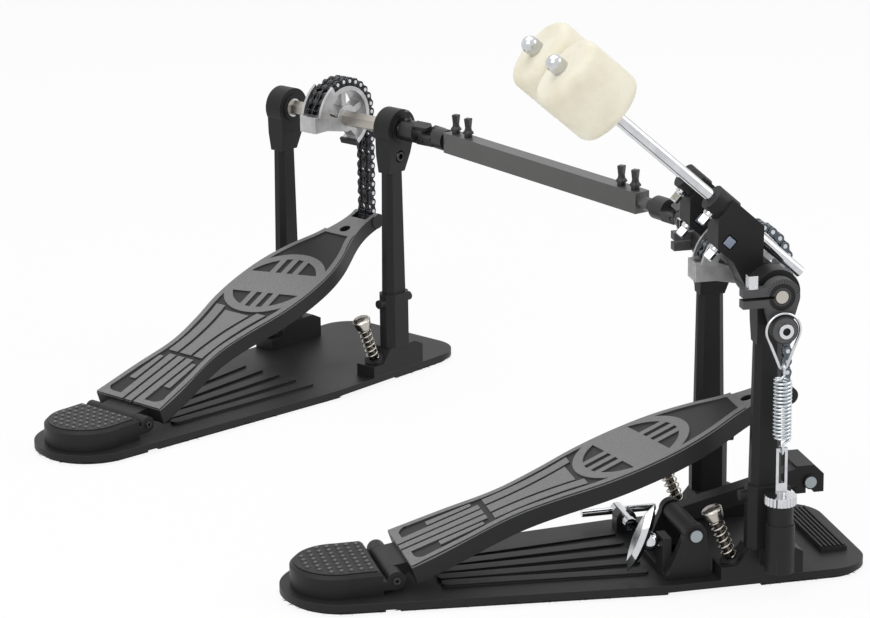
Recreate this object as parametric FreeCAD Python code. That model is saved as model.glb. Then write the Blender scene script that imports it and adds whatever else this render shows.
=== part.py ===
import FreeCAD, Part
import math
import os

V = FreeCAD.Vector
X_AXIS = V(1, 0, 0)
Y_AXIS = V(0, 1, 0)
Z_AXIS = V(0, 0, 1)

# Double bass drum pedal, millimetres and degrees.
# Each pedal has its own frame: X to the player's right, Y towards the drum, Z up,
# origin on the floor under the middle of its axle. The main pedal's frame is the part's frame.

# Stance of the two pedals
axle_height = 207.0
post_pitch = 120.0
slave_x = -506.0
slave_y = -170.3
slave_yaw = 34.26

# Clearances
overrun = 1.0
fit_gap = 0.05
air_gap = 0.4
loose_gap = 0.6

# Base plate and its floor strips
pad_height = 3.0
pad_inset = 4.0
pad_heel_gap_back = 262.0
pad_heel_gap = 10.0
pad_mid_gap_back = 72.0
pad_mid_gap = 66.0
plate_thickness = 5.0
plate_back = 325.0
plate_front = 74.0
plate_heel_width = 86.0
plate_toe_width = 134.0
plate_heel_depth = 36.0
plate_flare_back = 75.0
plate_corner = 28.0
ridge_width = 9.0
ridge_height = 1.6
ridge_back = 215.0
ridge_front = 83.0
ridge_heel_spread = 12.0
ridge_toe_spread = 19.0
ridge_places = (-2, -1, 0, 1, 2)

# Heel plate and heel hinge
heel_width = 64.0
heel_front_back = 261.0
heel_apex_back = 318.0
heel_side = 20.0
heel_height = 16.0
heel_edge = 2.0
stud_pitch = 8.0
stud_size = 3.2
stud_height = 0.9
stud_margin_share = 0.1
stud_margin = 7.0
stud_top_share = 0.45
hinge_back = 252.0
hinge_rise = 9.5
knuckle_radius = 6.3
knuckle_width = 12.0
knuckle_gap = 0.5
hinge_pin_radius = 2.5
hinge_pin_proud = 1.5
hinge_socket_radius = 1.4
hinge_socket_depth = 2.0

# Footboard
board_angle = 19.2
board_heel_offset = 9.5
board_heel_rise = 9.7
board_thickness = 12.5
board_half_width = 39.5
board_outline_shares = (
    (0.0, 0.9), (0.14, 0.785), (0.272, 0.653), (0.384, 0.76), (0.489, 0.937),
    (0.594, 1.0), (0.698, 0.937), (0.786, 0.74), (0.873, 0.45), (1.0, 0.3),
)
board_wall = 4.0
board_skin = 4.5
board_groove = 1.4
board_hole_radius = 4.5
board_hole_back = 26.0
board_border = 3.0
pocket_start = 5.6
pocket_inner = 13.5
pocket_corner = 8.0
heel_line_place = 4.6
heel_line_width = 2.0
band_start = 62.0
band_end = 67.0
finger_start = 25.0
finger_end = 58.0
finger_inner = 15.6
finger_root_width = 8.0
finger_tip_width = 5.0
waist_panel_end = 132.5
mid_panel_end = 127.5
mid_panel_flare = 100.0
mid_panel_halves = (6.6, 7.2, 13.0)
side_panel_inners = (9.4, 10.2, 18.2)
side_panel_outers = (18.6, 19.6, 27.0)
grip_centre = 173.0
grip_radius = 42.0
grip_band_half = 11.5
grip_slot_width = 5.0
grip_slot_pitch = 10.4
grip_slot_places = (-1.5, -0.5, 0.5, 1.5)
grip_slot_radius = 35.0
toe_field_end = 250.0
toe_eye_radius = 6.2
toe_pin_radius = 2.0
toe_eye_gap = 1.6
toe_ear = 4.2
toe_slot_depth = 9.0

# Posts, bearings and their feet
post_lean = 4.0
post_top_width = 18.0
post_top_depth = 12.0
post_low_width = 23.0
post_low_depth = 14.0
post_corner_share = 0.3
head_radius = 16.0
head_thickness = 16.0
head_drop = 35.0
head_taper = 14.0
head_shoulder = 30.0
head_screw_radius = 5.0
head_screw_drop = 22.0
head_screw_depth = 4.0
collar_width = 26.0
collar_depth = 17.0
collar_height = 44.0
collar_peg_radius = 3.6
collar_peg_length = 5.0
collar_peg_drop = 7.0
foot_back = 36.0
foot_front = 22.0
foot_inner = 12.0
foot_outer = 7.0
foot_height = 20.0
foot_low_height = 9.0
foot_step_back = 16.0
bearing_radius = 11.0
bearing_proud = 0.8
journal_radius = 5.45

# Spurs
spur_edge = 9.0
spur_back = 22.0
spur_tilt = 21.0
spur_radius = 3.1
spur_boss_radius = 7.6
spur_boss_top = 14.0
spur_spring_height = 30.0
spur_head_radius = 7.2
spur_head_height = 8.0
spur_head_taper_share = 0.82
spur_tip = 6.0
spur_tip_lift = 1.0
spur_wire = 1.2
spur_coil_radius = 4.7
spur_turns = 6

# Axles and chain cams
hex_flats = 11.0
hex_end = 13.0
spigot_radius = 2.95
spigot_length = 34.0
spigot_seat = 14.0
axle_end = 78.0
chain_radius = 30.0
chain_pitch = 7.0
chain_link_half_height = 3.2
chain_plate = 1.15
chain_outer = 7.15
chain_middle = 0.6
chain_pin_radius = 1.5
chain_pin_proud = 0.5
free_links = 3
wrapped_links = 9
cam_hub_radius = 11.0
cam_half_width = 8.4
cam_rim_outer = 26.2
cam_rim_inner = 22.8
cam_start = -62.0
cam_end = 170.0
cam_spokes = (-48.0, 22.0, 92.0, 150.0)
cam_spoke_width = 5.0
cam_spoke_half_depth = 5.5
cam_lug_reach = 37.0
cam_lug_height = 13.0
cam_lug_pocket = 7.0
cam_fin = 2.0
cam_fin_reach = 34.0
cam_fin_start = 122.0

# Spring rockers, stirrups and springs
rocker_gap = 1.0
rocker_thickness = 8.0
rocker_radius = 12.5
rocker_drop = 21.0
rocker_tip_radius = 6.5
rocker_ear_reach = 27.0
rocker_ear_height = 13.0
rocker_split = 2.2
key_head = 6.4
key_head_height = 9.0
key_neck_share = 0.82
key_disc_share = 0.2
rocker_collar_radius = 3.77
roller_radius = 9.2
roller_width = 6.5
roller_bolt_radius = 2.6
roller_head_radius = 5.0
roller_head_height = 3.0
stirrup_wire = 2.0
stirrup_gap = 1.4
stirrup_sag = 0.9
stirrup_foot_radius = 3.0
stirrup_length = 23.0
spring_wire = 1.7
spring_radius = 5.6
spring_turns = 17
level_share = 0.5
spring_leg = 4.0
spring_bend = 2.6
rod_top = 104.0
rod_eye_bar = 2.6
rod_flat_width = 8.0
rod_flat_thickness = 2.4
rod_flat_length = 32.0
rod_slot_width = 4.2
rod_slot_length = 22.0
rod_radius = 3.0
rod_foot = 20.0
nut_radius = 10.8
nut_groove = 0.8
nut_flutes = 24
nut_height = 6.0
nut_top = 70.7
tube_radius = 8.7
tube_lip = 1.2
tube_lip_height = 14.0
arm_half_width = 10.0

# Beaters and their hubs
beater_lean = 47.9
beater_spacing = 60.0
beater_offset = 21.0
shaft_radius = 3.97
shaft_low_reach = 20.7
felt_low_reach = 157.0
felt_length = 46.0
felt_radius = 26.5
felt_edge_radius = 9.0
dome_nut_radius = 6.0
dome_nut_height = 6.0
hub_radius = 13.5
hub_half_width = 11.0
hub_back = 3.2
hub_shoulder = 41.0
hub_web_top = 54.0
hub_socket_low = 26.0
hub_socket_high = 64.0
hub_socket_radius = 7.6
hub_saddle_low = 46.0
hub_saddle_radius = 9.2
hub_pocket_offset = 5.4
hub_pocket_height = 37.5
hub_pocket = 8.6
hub_pocket_depth = 3.0
hub_screw_head = 6.4
sleeve_hex = 13.0
sleeve_start = 14.5
sleeve_bore_length = 40.0

# Drive shaft between the pedals
main_joint_reach = 140.0
slave_yoke_gap = 2.7
stroke = 42.0
yoke_radius = 8.6
yoke_back = 26.0
yoke_face = 12.0
yoke_arm_inner = 5.2
yoke_arm_width = 8.0
cross_core = 8.0
cross_pin_radius = 2.0
tube_gap_main = 43.0
tube_gap_slave = 28.0
bar_tube_width = 13.0
bar_tube_height = 16.0
bar_tube_wall = 2.0
bar_rod_reach = 120.0
bar_neck_radius = 5.0
bar_screw_places_back = (8.0, 24.0)
bar_screw_height = 15.0
bar_screw_collar = 4.4

# Hoop clamp, wing screw and hoop pad
pivot_back = 51.0
pivot_height = 38.0
barrel_radius = 7.0
barrel_left = 6.0
barrel_right = 50.0
rivet_radius = 3.0
rivet_head_radius = 5.0
rivet_head_height = 1.8
lug_thickness = 6.5
lug_radius = 8.0
bracket_front_back = 40.0
bracket_rear_back = 72.0
bracket_floor = 4.0
rear_wall = 6.0
rear_wall_height = 23.5
lever_width = 12.0
lever_depth = 12.0
jaw_back = 34.0
jaw_front = 54.0
jaw_low = 46.0
jaw_high = 66.0
jaw_left = -16.0
jaw_lip = 7.0
jaw_notch = 8.0
jaw_screw_radius = 5.0
jaw_screw_proud = 2.0
tail_width = 14.0
tail_depth = 8.0
tail_drop = 24.0
wing_screw_x = 42.0
wing_tilt = 22.0
wing_screw_radius = 3.0
wing_screw_tip = 34.0
wing_nut_radius = 4.5
wing_nut_length = 3.0
wing_boss_radius = 6.5
wing_boss_gap = 1.0
wing_span = 25.0
wing_half_height = 7.5
wing_half_thickness = 3.6
wing_bevel_share = 0.72
hoop_pad_left = -47.0
hoop_pad_right = 34.0
hoop_pad_back = 47.0
hoop_pad_front = 66.0
hoop_pad_height = 4.0
hoop_rib = 1.6
hoop_rib_count = 6

# Drum key and its clip
key_x = -60.0
key_back = 70.0
key_rise = 9.0
key_bar_radius = 2.6
key_bar_length = 54.0
key_stem_radius = 4.8
key_bar_cover = 1.4
key_stem_length = 32.0
key_socket = 5.6
key_socket_depth = 14.0
clip_from_bar = 9.0
clip_length = 11.0
clip_wall = 2.4
clip_mouth_share = 0.75

# Levels and places that follow from the sizes above
plate_top = pad_height + plate_thickness
post_x = post_pitch / 2
bearing_inner = post_x - head_thickness / 2 - bearing_proud
bearing_outer = post_x + head_thickness / 2 + bearing_proud
spur_x = plate_toe_width / 2 - spur_edge
slave_joint_reach = bearing_outer + slave_yoke_gap + yoke_back
hinge_height = plate_top + hinge_rise
slope = math.radians(board_angle)
heel_point = V(0, -hinge_back + board_heel_offset, hinge_height + board_heel_rise)
toe_run = chain_radius + hinge_back - board_heel_offset
board_length = (toe_run - board_thickness / 2 * math.sin(slope)) / math.cos(slope)
rocker_inner = bearing_outer + rocker_gap
rocker_outer = rocker_inner + rocker_thickness
spring_x = rocker_outer + air_gap + roller_width / 2
hex_radius = hex_flats / math.sqrt(3)
axle_point = V(0, 0, axle_height)
link_step = 2 * math.asin(chain_pitch / 2 / chain_radius)
toe_pin_height = (
    heel_point.z + board_length * math.sin(slope) - board_thickness / 2 * math.cos(slope)
)
drop_links = 2 * int((axle_height - toe_pin_height) / chain_pitch / 2)
drop_pitch = (axle_height - toe_pin_height) / drop_links
slave_pose = FreeCAD.Placement(V(slave_x, slave_y, 0), FreeCAD.Rotation(Z_AXIS, slave_yaw))
main_joint = V(-main_joint_reach, 0, axle_height)
slave_joint = slave_pose.multVec(V(slave_joint_reach, 0, axle_height))
bar_span = (main_joint - slave_joint).Length
bar_yaw = math.degrees(math.atan2(main_joint.y - slave_joint.y, main_joint.x - slave_joint.x))
bar_ratio = math.cos(math.radians(slave_yaw - bar_yaw))
sleeve_ratio = bar_ratio / math.cos(math.radians(bar_yaw))
screw_tilt = math.radians(wing_tilt)
wing_axis = V(0, math.cos(screw_tilt), -math.sin(screw_tilt))


def box(x, y, z):
    """Box between pairs of limits along each axis."""
    size = [max(pair) - min(pair) for pair in (x, y, z)]
    return Part.makeBox(*size, V(min(x), min(y), min(z)))


def rod(start, end, radius):
    """Round bar between two points."""
    run = end - start
    return Part.makeCylinder(radius, run.Length, start, run)


def along_x(y, z, x0, x1, radius):
    """Round bar parallel to X."""
    return rod(V(x0, y, z), V(x1, y, z), radius)


def line(a, b):
    return Part.LineSegment(a, b).toShape()


def arc(a, middle, b):
    return Part.Arc(a, middle, b).toShape()


def face(edges):
    return Part.Face(Part.Wire(edges))


def polygon(points):
    return Part.Face(Part.makePolygon(list(points) + [points[0]]))


def mirrored(shape):
    return shape.mirror(V(0, 0, 0), X_AXIS)


def turned(shape, degrees, axis=X_AXIS, point=V(0, 0, 0)):
    """Copy of a shape turned about an axis through a point."""
    copy = shape.copy()
    copy.rotate(point, axis, degrees)
    return copy


def moved(shape, offset):
    copy = shape.copy()
    copy.translate(offset)
    return copy


def placed(shape, pose):
    """Copy of a shape carried from a pedal's frame by a pose."""
    copy = shape.copy()
    copy.Placement = pose.multiply(copy.Placement)
    return copy


def fuse(shapes):
    return shapes[0].multiFuse(shapes[1:]).removeSplitter()


def pill(a, b, width, rise):
    """Upright slab with round ends that joins two points."""
    side = (b - a).cross(Z_AXIS).normalize() * (width / 2)
    end = (b - a).normalize() * (width / 2)
    edges = [
        line(a + side, b + side),
        arc(b + side, b + end, b - side),
        line(b - side, a - side),
        arc(a - side, a - end, a + side),
    ]
    return face(edges).extrude(Z_AXIS * rise)


def link_plate(a, b, x0, x1, radius):
    """Round-ended chain plate between two pins in the plane across X."""
    side = (b - a).cross(X_AXIS).normalize() * radius
    end = (b - a).normalize() * radius
    start = V(x0, 0, 0)
    edges = [
        line(start + a + side, start + b + side),
        arc(start + b + side, start + b + end, start + b - side),
        line(start + b - side, start + a - side),
        arc(start + a - side, start + a - end, start + a + side),
    ]
    return face(edges).extrude(X_AXIS * (x1 - x0))


def hex_bar(x0, x1, flats):
    """Hexagonal bar on the axle line."""
    radius = flats / math.sqrt(3)
    turns = [math.radians(30 + 60 * i) for i in range(6)]
    corners = [V(x0, radius * math.cos(t), axle_height + radius * math.sin(t)) for t in turns]
    return polygon(corners).extrude(X_AXIS * (x1 - x0))


def round_on_axle(x0, x1, radius):
    return along_x(0, axle_height, x0, x1, radius)


def plate_face(inset):
    """Outline of the base plate, drawn in from its edge by an inset."""
    heel = plate_heel_width / 2 - inset
    toe = plate_toe_width / 2 - inset
    back = -plate_back + inset
    shoulder = -plate_back + plate_heel_depth
    front = plate_front - inset
    corner = plate_corner - inset
    cut = corner * (1 - math.sqrt(0.5))
    edges = [arc(V(-heel, shoulder, 0), V(0, back, 0), V(heel, shoulder, 0))]
    edges.append(line(V(heel, shoulder, 0), V(toe, -plate_flare_back, 0)))
    edges.append(line(V(toe, -plate_flare_back, 0), V(toe, front - corner, 0)))
    edges.append(arc(V(toe, front - corner, 0), V(toe - cut, front - cut, 0), V(toe - corner, front, 0)))
    edges.append(line(V(toe - corner, front, 0), V(corner - toe, front, 0)))
    edges.append(arc(V(corner - toe, front, 0), V(cut - toe, front - cut, 0), V(-toe, front - corner, 0)))
    edges.append(line(V(-toe, front - corner, 0), V(-toe, -plate_flare_back, 0)))
    edges.append(line(V(-toe, -plate_flare_back, 0), V(-heel, shoulder, 0)))
    return face(edges)


def spur_point(distance):
    """Point on the right spur's line, measured up from the plate's top."""
    tilt = math.radians(spur_tilt)
    rise = distance * math.cos(tilt)
    return V(spur_x, -spur_back - distance * math.sin(tilt), plate_top + rise)


def spur_hole():
    reach = plate_top / math.cos(math.radians(spur_tilt))
    return rod(spur_point(-reach - overrun), spur_point(spur_boss_top + overrun), spur_radius + air_gap)


def base_plate():
    """Flat plate with fanned ridges and a hole for each spur."""
    plate = plate_face(0).extrude(Z_AXIS * plate_thickness)
    plate.translate(Z_AXIS * pad_height)
    ridges = []
    for place in ridge_places:
        heel = V(place * ridge_heel_spread, -ridge_back, plate_top)
        toe = V(place * ridge_toe_spread, -ridge_front, plate_top)
        ridges.append(pill(heel, toe, ridge_width, ridge_height))
    hole = spur_hole()
    return fuse([plate] + ridges).cut([hole, mirrored(hole)])


def floor_pads():
    """Grip strips under the plate, with gaps behind the heel hinge and under the posts."""
    strip = plate_face(pad_inset).extrude(Z_AXIS * pad_height)
    wide = (-plate_toe_width, plate_toe_width)
    deep = (-overrun, pad_height + overrun)
    heel_gap = box(wide, (-pad_heel_gap_back, pad_heel_gap - pad_heel_gap_back), deep)
    mid_gap = box(wide, (-pad_mid_gap_back, pad_mid_gap - pad_mid_gap_back), deep)
    return strip.cut([heel_gap, mid_gap])


def heel_face(inset):
    half = heel_width / 2 - inset
    front = -heel_front_back - inset
    shoulder = -heel_front_back - heel_side
    back = -heel_apex_back + inset
    return face([
        line(V(-half, front, 0), V(-half, shoulder, 0)),
        arc(V(-half, shoulder, 0), V(0, back, 0), V(half, shoulder, 0)),
        line(V(half, shoulder, 0), V(half, front, 0)),
        line(V(half, front, 0), V(-half, front, 0)),
    ])


def stud(x, y, z):
    """Low pyramid that gives the heel its grip."""
    half = stud_size / 2
    top = half * stud_top_share
    low = [V(x - half, y, z), V(x, y - half, z), V(x + half, y, z), V(x, y + half, z)]
    high = [V(x - top, y, z), V(x, y - top, z), V(x + top, y, z), V(x, y + top, z)]
    rings = [low, [p + Z_AXIS * stud_height for p in high]]
    wires = [Part.makePolygon(ring + [ring[0]]) for ring in rings]
    return Part.makeLoft(wires, True, True)


def heel_studs():
    """Staggered studs that fill the heel's top inside its margin."""
    top = plate_top + heel_height
    limit = heel_face(stud_margin)
    rows = int((heel_apex_back - heel_front_back) / stud_pitch)
    columns = int(heel_width / stud_pitch)
    studs = []
    for row in range(rows):
        y = -heel_front_back - stud_margin - row * stud_pitch
        shift = (row % 2) * stud_pitch / 2
        for column in range(-columns, columns):
            x = column * stud_pitch + shift
            if limit.isInside(V(x, y, 0), stud_height * stud_margin_share, True):
                studs.append(stud(x, y, top))
    return studs


def heel_plate():
    """Heel block with studs, two hinge knuckles and the pressed hinge pin."""
    top = plate_top + heel_height
    block = heel_face(0).extrude(Z_AXIS * (heel_height - heel_edge))
    rim = Part.makeLoft([
        moved(heel_face(0).OuterWire, Z_AXIS * (heel_height - heel_edge)),
        moved(heel_face(heel_edge).OuterWire, Z_AXIS * heel_height),
    ], True, True)
    body = moved(fuse([block, rim]), Z_AXIS * plate_top)
    half = heel_width / 2
    parts = [body]
    for side in (1, -1):
        inner = side * (half - knuckle_width)
        outer = side * half
        parts.append(along_x(-hinge_back, hinge_height, inner, outer, knuckle_radius))
        reach = (-heel_front_back - heel_edge, -hinge_back)
        parts.append(box((inner, outer), reach, (hinge_height - knuckle_radius, hinge_height)))
    body = fuse(parts)
    hole = along_x(-hinge_back, hinge_height, -heel_width, heel_width, hinge_pin_radius + fit_gap)
    body = body.cut(hole)
    pin_end = half + hinge_pin_proud
    pin = along_x(-hinge_back, hinge_height, -pin_end, pin_end, hinge_pin_radius)
    for side in (1, -1):
        deep = side * (pin_end - hinge_socket_depth)
        past = side * (pin_end + overrun)
        pin = pin.cut(along_x(-hinge_back, hinge_height, deep, past, hinge_socket_radius))
    return Part.makeCompound([body.fuse(heel_studs()).removeSplitter(), pin])


def board_half(share):
    return share * board_half_width


def board_side(inset, sign):
    """Points down one side of the footboard's outline."""
    points = []
    for along, across in board_outline_shares:
        u = inset + along * (board_length - 2 * inset)
        points.append(V(sign * (board_half(across) - inset), u, 0))
    return points


def board_face(inset):
    right = board_side(inset, 1)
    left = board_side(inset, -1)
    curves = []
    for points in (right, left):
        curve = Part.BSplineCurve()
        curve.interpolate(points)
        curves.append(curve.toShape())
    return face([
        curves[0],
        line(right[-1], left[-1]),
        curves[1],
        line(left[0], right[0]),
    ])


def relief(face_on_top):
    """Solid that sinks an outline into the footboard's top."""
    return moved(face_on_top, Z_AXIS * -board_groove).extrude(Z_AXIS * (board_groove + overrun))


def relief_box(x, u):
    return box(x, u, (-board_groove, overrun))


def relief_disc(radius):
    return Part.makeCylinder(radius, board_groove + overrun, V(0, grip_centre, -board_groove))


def both_sides(shape):
    return [shape, mirrored(shape)]


def heel_relief(inner):
    """Sunk field at the heel: a pocket with a raised finger on each side, and two long lines."""
    wide = (pocket_inner, board_half_width)
    pocket = inner.common(relief_box(wide, (pocket_start, band_end)))
    corner = V(board_half_width, pocket_start, 0)
    edges = []
    for edge in pocket.Edges:
        low, high = [vertex.Point for vertex in edge.Vertexes[:1] + edge.Vertexes[-1:]]
        upright = (high - low).cross(Z_AXIS).Length < fit_gap
        if upright and low.y < pocket_start + fit_gap and low.x > (pocket_inner + corner.x) / 2:
            edges.append(edge)
    pocket = pocket.makeFillet(pocket_corner, edges)
    finger = polygon([
        V(finger_inner, finger_start, 0),
        V(finger_inner + finger_root_width, finger_start, 0),
        V(finger_inner + finger_tip_width, finger_end, 0),
        V(finger_inner, finger_end, 0),
    ])
    pocket = pocket.cut(relief(finger))
    line_x = (heel_line_place - heel_line_width / 2, heel_line_place + heel_line_width / 2)
    lines = relief_box(line_x, (-overrun, band_end))
    return both_sides(pocket) + both_sides(lines)


def flared_panel(inners, outers, end):
    """Raised panel of the waist, from offsets at its start, its flare and its end."""
    stations = (band_end, mid_panel_flare, end)
    sides = []
    for offsets in (inners, outers):
        points = [V(x, u, 0) for x, u in zip(offsets, stations)]
        sides.append((points, arc(*points)))
    near, far = sides
    return relief(face([near[1], line(near[0][2], far[0][2]), far[1], line(far[0][0], near[0][0])]))


def waist_relief(inner):
    """Sunk field of the waist up to the ring, round three raised panels."""
    field = inner.common(relief_box((-board_half_width, board_half_width), (band_start, grip_centre)))
    middle = flared_panel([-half for half in mid_panel_halves], mid_panel_halves, mid_panel_end)
    side = flared_panel(side_panel_inners, side_panel_outers, waist_panel_end)
    return [field.cut([relief_disc(grip_radius), middle] + both_sides(side))]


def grip_relief():
    """Slots on the heel and toe sides of the plain band across the ring."""
    slots = []
    for place in grip_slot_places:
        middle = place * grip_slot_pitch
        wide = (middle - grip_slot_width / 2, middle + grip_slot_width / 2)
        for low, high in ((-grip_radius, -grip_band_half), (grip_band_half, grip_radius)):
            slot = relief_box(wide, (grip_centre + low, grip_centre + high))
            slots.append(slot.common(relief_disc(grip_slot_radius)))
    return slots


def toe_relief(inner):
    """Sunk field between the ring and the toe."""
    wide = (-board_half_width, board_half_width)
    return [inner.common(relief_box(wide, (grip_centre, toe_field_end))).cut(relief_disc(grip_radius))]


def board_cuts():
    """Everything cut into the footboard's top."""
    inner = relief(board_face(board_border))
    cuts = heel_relief(inner) + waist_relief(inner) + grip_relief() + toe_relief(inner)
    eye = V(0, board_length - board_hole_back, -board_thickness - overrun)
    cuts.append(Part.makeCylinder(board_hole_radius, board_thickness + 2 * overrun, eye))
    return cuts


def board_underside():
    """Hollow below the footboard's skin, short of the toe eye."""
    hollow = board_face(board_wall).extrude(Z_AXIS * (board_thickness - board_skin + overrun))
    hollow.translate(Z_AXIS * (-board_thickness - overrun))
    limit = board_length - board_hole_back - board_hole_radius - board_wall
    keep = box(
        (-board_half_width, board_half_width),
        (0, limit),
        (-board_thickness - overrun, 0),
    )
    return hollow.common(keep)


def footboard():
    """Cast footboard with its hinge knuckle and the forked toe that takes the chain."""
    body = board_face(0).extrude(Z_AXIS * -board_thickness)
    fork_half = chain_outer + chain_pin_proud + loose_gap + toe_ear
    middle = -board_thickness / 2
    ear = along_x(board_length, middle, -fork_half, fork_half, toe_eye_radius)
    body = fuse([body, ear])
    slot_half = chain_outer + chain_pin_proud + loose_gap
    slot = box(
        (-slot_half, slot_half),
        (board_length - toe_slot_depth, board_length + toe_eye_radius + overrun),
        (-board_thickness - overrun, overrun),
    )
    body = body.cut(board_cuts() + [board_underside(), slot])
    pin = along_x(board_length, middle, -fork_half, fork_half, toe_pin_radius)
    body = placed(body, FreeCAD.Placement(heel_point, FreeCAD.Rotation(X_AXIS, board_angle)))
    pin = placed(pin, FreeCAD.Placement(heel_point, FreeCAD.Rotation(X_AXIS, board_angle)))
    half = heel_width / 2 - knuckle_width - knuckle_gap
    knuckle = along_x(-hinge_back, hinge_height, -half, half, knuckle_radius)
    drop = board_thickness * math.cos(slope)
    web = [
        V(-half, -hinge_back, hinge_height + knuckle_radius),
        V(-half, -hinge_back, hinge_height - knuckle_radius),
        V(-half, heel_point.y + board_wall, heel_point.z - drop + board_wall),
        V(-half, heel_point.y + board_wall, heel_point.z - board_groove),
    ]
    web = polygon(web).extrude(X_AXIS * (2 * half))
    hole = along_x(-hinge_back, hinge_height, -half - overrun, half + overrun, hinge_pin_radius + fit_gap)
    return fuse([body, knuckle, web, pin]).cut(hole)


def column_wire(width, depth, z):
    """Chamfered rectangle across a post at one height."""
    half_x = depth / 2
    half_y = width / 2
    cut = post_corner_share * depth
    corner = [(half_x, half_y - cut), (half_x - cut, half_y)]
    corners = corner + [(-x, y) for x, y in reversed(corner)]
    corners += [(-x, -y) for x, y in corners]
    points = [V(post_x + x, y - post_lean, z) for x, y in corners]
    return Part.makePolygon(points + [points[0]])


def post_head():
    """Teardrop bearing housing at the top of a post."""
    inner = post_x - head_thickness / 2
    shoulder = math.radians(head_shoulder)
    side = head_radius * math.cos(shoulder)
    low = axle_height - head_radius * math.sin(shoulder)
    neck = axle_height - head_drop
    half = post_top_width / 2
    edges = [
        arc(V(inner, -side, low), V(inner, 0, axle_height + head_radius), V(inner, side, low)),
        line(V(inner, side, low), V(inner, half - post_lean, neck)),
        line(V(inner, half - post_lean, neck), V(inner, -half - post_lean, neck)),
        line(V(inner, -half - post_lean, neck), V(inner, -side, low)),
    ]
    head = face(edges).extrude(X_AXIS * head_thickness)
    outer = inner + head_thickness
    slim = (head_thickness - post_top_depth) / 2
    side_view = polygon([
        V(inner, -head_radius * 2, neck + head_taper),
        V(inner, -head_radius * 2, axle_height + head_radius),
        V(outer, -head_radius * 2, axle_height + head_radius),
        V(outer, -head_radius * 2, neck + head_taper),
        V(outer - slim, -head_radius * 2, neck),
        V(inner + slim, -head_radius * 2, neck),
    ]).extrude(Y_AXIS * (4 * head_radius))
    head = head.common(side_view)
    seat = round_on_axle(inner - overrun, outer + overrun, bearing_radius)
    drop = axle_height - head_screw_drop
    screw = along_x(-post_lean / 2, drop, outer - head_screw_depth, outer + overrun, head_screw_radius)
    return head.cut([seat, screw])


def post_foot():
    """Stepped foot on the plate, with the spur's boss at its back."""
    x0 = post_x - foot_inner
    x1 = post_x + foot_outer
    low = plate_top + foot_low_height
    high = plate_top + foot_height
    profile = [
        V(x0, -foot_back, plate_top),
        V(x0, foot_front, plate_top),
        V(x0, foot_front, high - foot_low_height / 2),
        V(x0, foot_front - foot_low_height, high),
        V(x0, -foot_step_back, high),
        V(x0, -foot_step_back - foot_low_height, low),
        V(x0, -foot_back, low),
    ]
    foot = polygon(profile).extrude(X_AXIS * (x1 - x0))
    boss = rod(spur_point(0), spur_point(spur_boss_top), spur_boss_radius)
    floor = box((x0 - spur_boss_radius, x1 + spur_boss_radius), (-plate_back, plate_front), (0, plate_top))
    return fuse([foot, boss]).cut(floor)


def spring_stand():
    """Outboard arm and upright tube that take the spring rod."""
    high = plate_top + foot_height
    low = plate_top + foot_low_height
    half = arm_half_width
    far = spring_x + tube_radius
    arm = [V(post_x, -half, low), V(far, -half / 2, low), V(far, half / 2, low), V(post_x, half, low)]
    web = polygon(arm).extrude(Z_AXIS * (high - low))
    tube_top = nut_top - nut_height - air_gap
    tube = rod(V(spring_x, 0, low), V(spring_x, 0, tube_top), tube_radius)
    lip = rod(V(spring_x, 0, low), V(spring_x, 0, tube_top - tube_lip_height), tube_radius + tube_lip)
    bore = rod(V(spring_x, 0, low - overrun), V(spring_x, 0, tube_top + overrun), rod_radius + fit_gap)
    return fuse([web, tube, lip]), bore


def post(has_spring):
    """Right-hand post: foot, collar, tapered column and bearing head."""
    foot_top = plate_top + foot_height
    neck = axle_height - head_drop
    column = Part.makeLoft([
        column_wire(post_low_width, post_low_depth, foot_top),
        column_wire(post_top_width, post_top_depth, neck),
    ], True, True)
    collar_top = foot_top + collar_height
    collar = Part.makeLoft([
        column_wire(collar_width, collar_depth, foot_top),
        column_wire(collar_width, collar_depth, collar_top),
    ], True, True)
    parts = [post_head(), column, collar, post_foot()]
    for sign in (1, -1):
        start = V(post_x, -post_lean, collar_top - collar_peg_drop)
        end = start + Y_AXIS * (sign * (collar_width / 2 + collar_peg_length))
        parts.append(rod(start, end, collar_peg_radius))
    cuts = [spur_hole()]
    if has_spring:
        stand, bore = spring_stand()
        parts.append(stand)
        cuts.append(bore)
    return fuse(parts).cut(cuts)


def bearing():
    """Bearing ring in a right-hand post."""
    half = head_thickness / 2 + bearing_proud
    ring = round_on_axle(post_x - half, post_x + half, bearing_radius - fit_gap)
    return ring.cut(round_on_axle(post_x - half - overrun, post_x + half + overrun, journal_radius + fit_gap))


def bearings():
    return Part.makeCompound([bearing(), mirrored(bearing())])


def biarc(a, a_way, b, b_way):
    """Two arcs from a point and direction to another point and direction."""
    gap = b - a
    ways = a_way + b_way
    spread = 2 * (1 - a_way.dot(b_way))
    reach = (-gap.dot(ways) + math.sqrt(gap.dot(ways) ** 2 + spread * gap.dot(gap))) / spread
    middle = ((a + a_way * reach) + (b - b_way * reach)) * 0.5
    return [bend(a, a_way, middle), bend(b, b_way * -1, middle)]


def bend(start, way, end):
    """Arc from a point, along a direction, to an end point."""
    chord = end - start
    side = way - chord * (way.dot(chord) / chord.dot(chord))
    angle = way.getAngle(chord)
    sagitta = chord.Length / 2 * math.tan(angle / 2)
    return arc(start, start + chord * 0.5 + side.normalize() * sagitta, end)


def ease(share):
    """Smooth step from 0 to 1."""
    share = min(max(share, 0), 1)
    return share * share * (3 - 2 * share)


def ramp(turn, turns):
    """Rise in pitches of a coil that starts and ends level."""
    total = turns - level_share
    rise = turn - level_share / 2
    if turn < level_share:
        rise = turn * turn / (2 * level_share)
    if turn > total:
        rise = total - (turns - turn) ** 2 / (2 * level_share)
    return rise / total


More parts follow.
